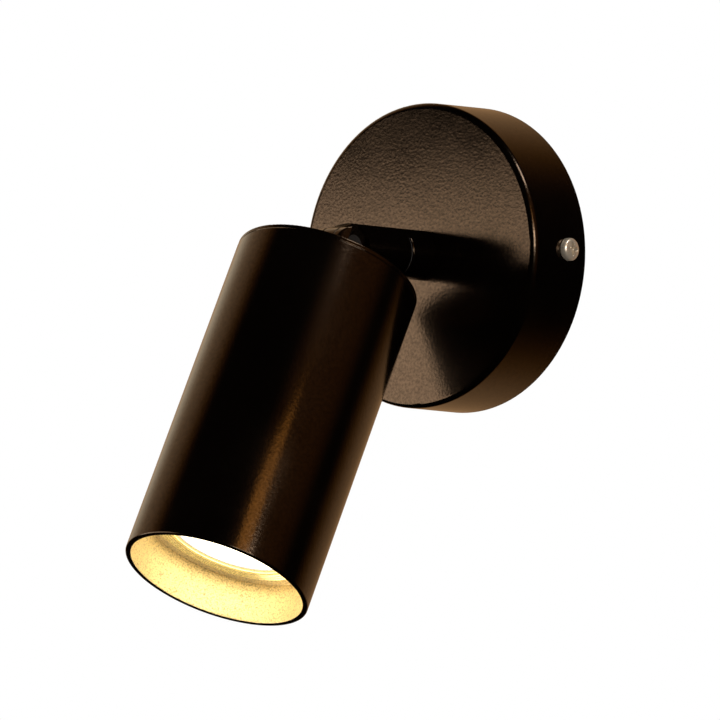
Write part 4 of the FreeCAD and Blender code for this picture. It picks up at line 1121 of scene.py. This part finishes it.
class SPOTLIGHT_OT_stage(bpy.types.Operator):
    """Set the camera, the lamps, the floor and the background"""

    bl_idname = "spotlight.stage"
    bl_label = "Stage"

    def execute(self, context):
        stage = context.scene.spotlight_stage
        self.set_camera(context.scene, stage)
        self.set_world(context.scene, stage)
        self.set_lamps(context.scene)
        self.set_floor(context.scene, stage)
        context.scene.view_settings.view_transform = "Standard"
        return {"FINISHED"}

    def set_camera(self, scene, stage):
        data = bpy.data.cameras.new("camera")
        data.lens = stage.camera_lens
        data.sensor_width = 36.0
        camera = bpy.data.objects.new("camera", data)
        scene.collection.objects.link(camera)
        face = Vector((0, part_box("canopy")[0].y, 0))
        outward = direction(stage.camera_azimuth, stage.camera_elevation)
        right = Vector((math.cos(stage.camera_azimuth), math.sin(stage.camera_azimuth), 0))
        target = face + right * stage.aim_across + outward.cross(right) * stage.aim_up
        camera.location = face + outward * stage.camera_distance
        aim(camera, target)
        scene.camera = camera

    def set_world(self, scene, stage):
        """White to the camera, soft to matt surfaces, and in reflections a few warm glows.

        The glows add up between black and full, and are deep in colour where they fade.
        """
        world = bpy.data.worlds.new("studio")
        world.use_nodes = True
        tree = world.node_tree
        tree.nodes.clear()
        place = add_node(tree, "ShaderNodeTexCoord").outputs["Generated"]
        total = None
        for azimuth, elevation, edge, core, level in GLOWS:
            glow = self.add_glow(tree, place, azimuth, elevation, edge, core, level * stage.backdrop_level)
            total = glow if total is None else compute(tree, "ADD", total, glow, clamp=True)
        pale = spread(tree, total, 0.0, 1.0, from_low=0.15, from_high=0.9)
        tint = blend_colour(tree, pale, stage.backdrop_deep, stage.backdrop_pale)
        ray = add_node(tree, "ShaderNodeLightPath").outputs
        colour = mix(tree, "RGBA", ray["Is Glossy Ray"], WHITE, tint)
        lit = mix(tree, "FLOAT", ray["Is Glossy Ray"], stage.room_level, total)
        straight = compute(tree, "MAXIMUM", ray["Is Camera Ray"], ray["Is Transmission Ray"])
        level = mix(tree, "FLOAT", straight, lit, 1.0)
        background = add_node(tree, "ShaderNodeBackground", {"Color": colour, "Strength": level})
        output = add_node(tree, "ShaderNodeOutputWorld")
        tree.links.new(background.outputs[0], output.inputs["Surface"])
        scene.world = world

    def add_glow(self, tree, place, azimuth, elevation, edge, core, level):
        """A level that rises from 0 where the cosine to a direction is edge, to full at core."""
        toward = direction(math.radians(azimuth), math.radians(elevation))
        cosine = add_node(tree, "ShaderNodeVectorMath", {0: place, 1: toward}, operation="DOT_PRODUCT")
        ends = {"Value": cosine.outputs["Value"], "From Min": edge, "From Max": core, "To Max": level}
        glow = add_node(tree, "ShaderNodeMapRange", ends, interpolation_type="SMOOTHSTEP")
        return glow.outputs["Result"]

    def set_lamps(self, scene):
        """Softboxes round the object's middle, each turned to it and hidden from the camera."""
        low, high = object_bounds()
        middle = (Vector(low) + Vector(high)) / 2
        for name, azimuth, elevation, distance, width, height, level, gloss, tint in SOFTBOXES:
            data = bpy.data.lights.new(name, "AREA")
            data.color = tint
            data.shape = "RECTANGLE"
            data.size = width
            data.size_y = height
            data.energy = level * math.pi * width * height
            lamp = bpy.data.objects.new(name, data)
            scene.collection.objects.link(lamp)
            toward = direction(math.radians(azimuth), math.radians(elevation))
            lamp.location = middle + toward * distance
            aim(lamp, middle)
            lamp.visible_camera = False
            lamp.visible_glossy = gloss

    def set_floor(self, scene, stage):
        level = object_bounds()[0][2] - stage.floor_drop
        half = 3.0
        points_a_side = 9
        side = np.linspace(-half, half, points_a_side)
        across, deep = np.meshgrid(side, side, indexing="ij")
        points = np.stack([across, deep, np.full_like(across, level)], -1)
        faces = grid_faces(points_a_side, points_a_side, columns_close=False)
        mesh = bpy.data.meshes.new("floor")
        mesh.from_pydata(points.reshape(-1, 3).tolist(), [], faces.tolist())
        mesh.materials.append(floor_paper())
        floor = bpy.data.objects.new("floor", mesh)
        scene.collection.objects.link(floor)
        floor.visible_glossy = False
        floor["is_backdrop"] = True


def direction(azimuth, elevation):
    """A unit vector: azimuth 0 is -Y, 90 degrees is +X, and elevation is up."""
    flat = math.cos(elevation)
    return Vector((math.sin(azimuth) * flat, -math.cos(azimuth) * flat, math.sin(elevation)))


def aim(thing, target):
    """Turn a camera or lamp towards a point."""
    thing.rotation_euler = (target - thing.location).to_track_quat("-Z", "Y").to_euler()


@once
def floor_paper():
    """Pale paper that looks white to the camera and keeps soft shadows."""
    fibre = 4 * MM
    material, tree, surface, shader = start_material("floor_paper", moulding_group(), fibre)
    tone = blend_colour(tree, surface.outputs["Tone"], (0.86, 0.86, 0.86), (0.9, 0.9, 0.9))
    tree.links.new(tone, shader.inputs["Base Color"])
    shader.inputs["Roughness"].default_value = 0.9
    ray = add_node(tree, "ShaderNodeLightPath")
    shader.inputs["Emission Color"].default_value = WHITE
    camera_lift = 0.45
    lift = compute(tree, "MULTIPLY", ray.outputs["Is Camera Ray"], camera_lift)
    tree.links.new(lift, shader.inputs["Emission Strength"])
    return material


class SPOTLIGHT_PT_panel(bpy.types.Panel):
    """The spotlight's settings and operators"""

    bl_label = "Pivoting Spotlight"
    bl_space_type = "VIEW_3D"
    bl_region_type = "UI"
    bl_category = "Spotlight"

    def draw(self, context):
        for group in SETTINGS:
            settings = getattr(context.scene, group)
            for name in settings.__annotations__:
                self.layout.prop(settings, name)
        for operator in OPERATORS:
            self.layout.operator(operator.bl_idname)


OPERATORS = (
    SPOTLIGHT_OT_packed_parts,
    SPOTLIGHT_OT_side_screws,
    SPOTLIGHT_OT_wall_fittings,
    SPOTLIGHT_OT_stem,
    SPOTLIGHT_OT_head_tube,
    SPOTLIGHT_OT_front_ring,
    SPOTLIGHT_OT_lamp_shell,
    SPOTLIGHT_OT_lens,
    SPOTLIGHT_OT_stage,
)
SETTINGS = {
    "spotlight_finish": SpotlightFinish,
    "spotlight_shape": SpotlightShape,
    "spotlight_stage": SpotlightStage,
}


def register():
    for name, group in SETTINGS.items():
        bpy.utils.register_class(group)
        setattr(bpy.types.Scene, name, PointerProperty(type=group))
    for operator in OPERATORS:
        bpy.utils.register_class(operator)
    bpy.utils.register_class(SPOTLIGHT_PT_panel)


def unregister():
    bpy.utils.unregister_class(SPOTLIGHT_PT_panel)
    for operator in reversed(OPERATORS):
        bpy.utils.unregister_class(operator)
    for name, group in SETTINGS.items():
        delattr(bpy.types.Scene, name)
        bpy.utils.unregister_class(group)


def main():
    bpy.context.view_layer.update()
    register()
    bpy.ops.spotlight.packed_parts()
    bpy.ops.spotlight.side_screws()
    bpy.ops.spotlight.wall_fittings()
    bpy.ops.spotlight.stem()
    bpy.ops.spotlight.head_tube()
    bpy.ops.spotlight.front_ring()
    bpy.ops.spotlight.lamp_shell()
    bpy.ops.spotlight.lens()
    bpy.ops.spotlight.stage()


if __name__ == "__main__":
    main()
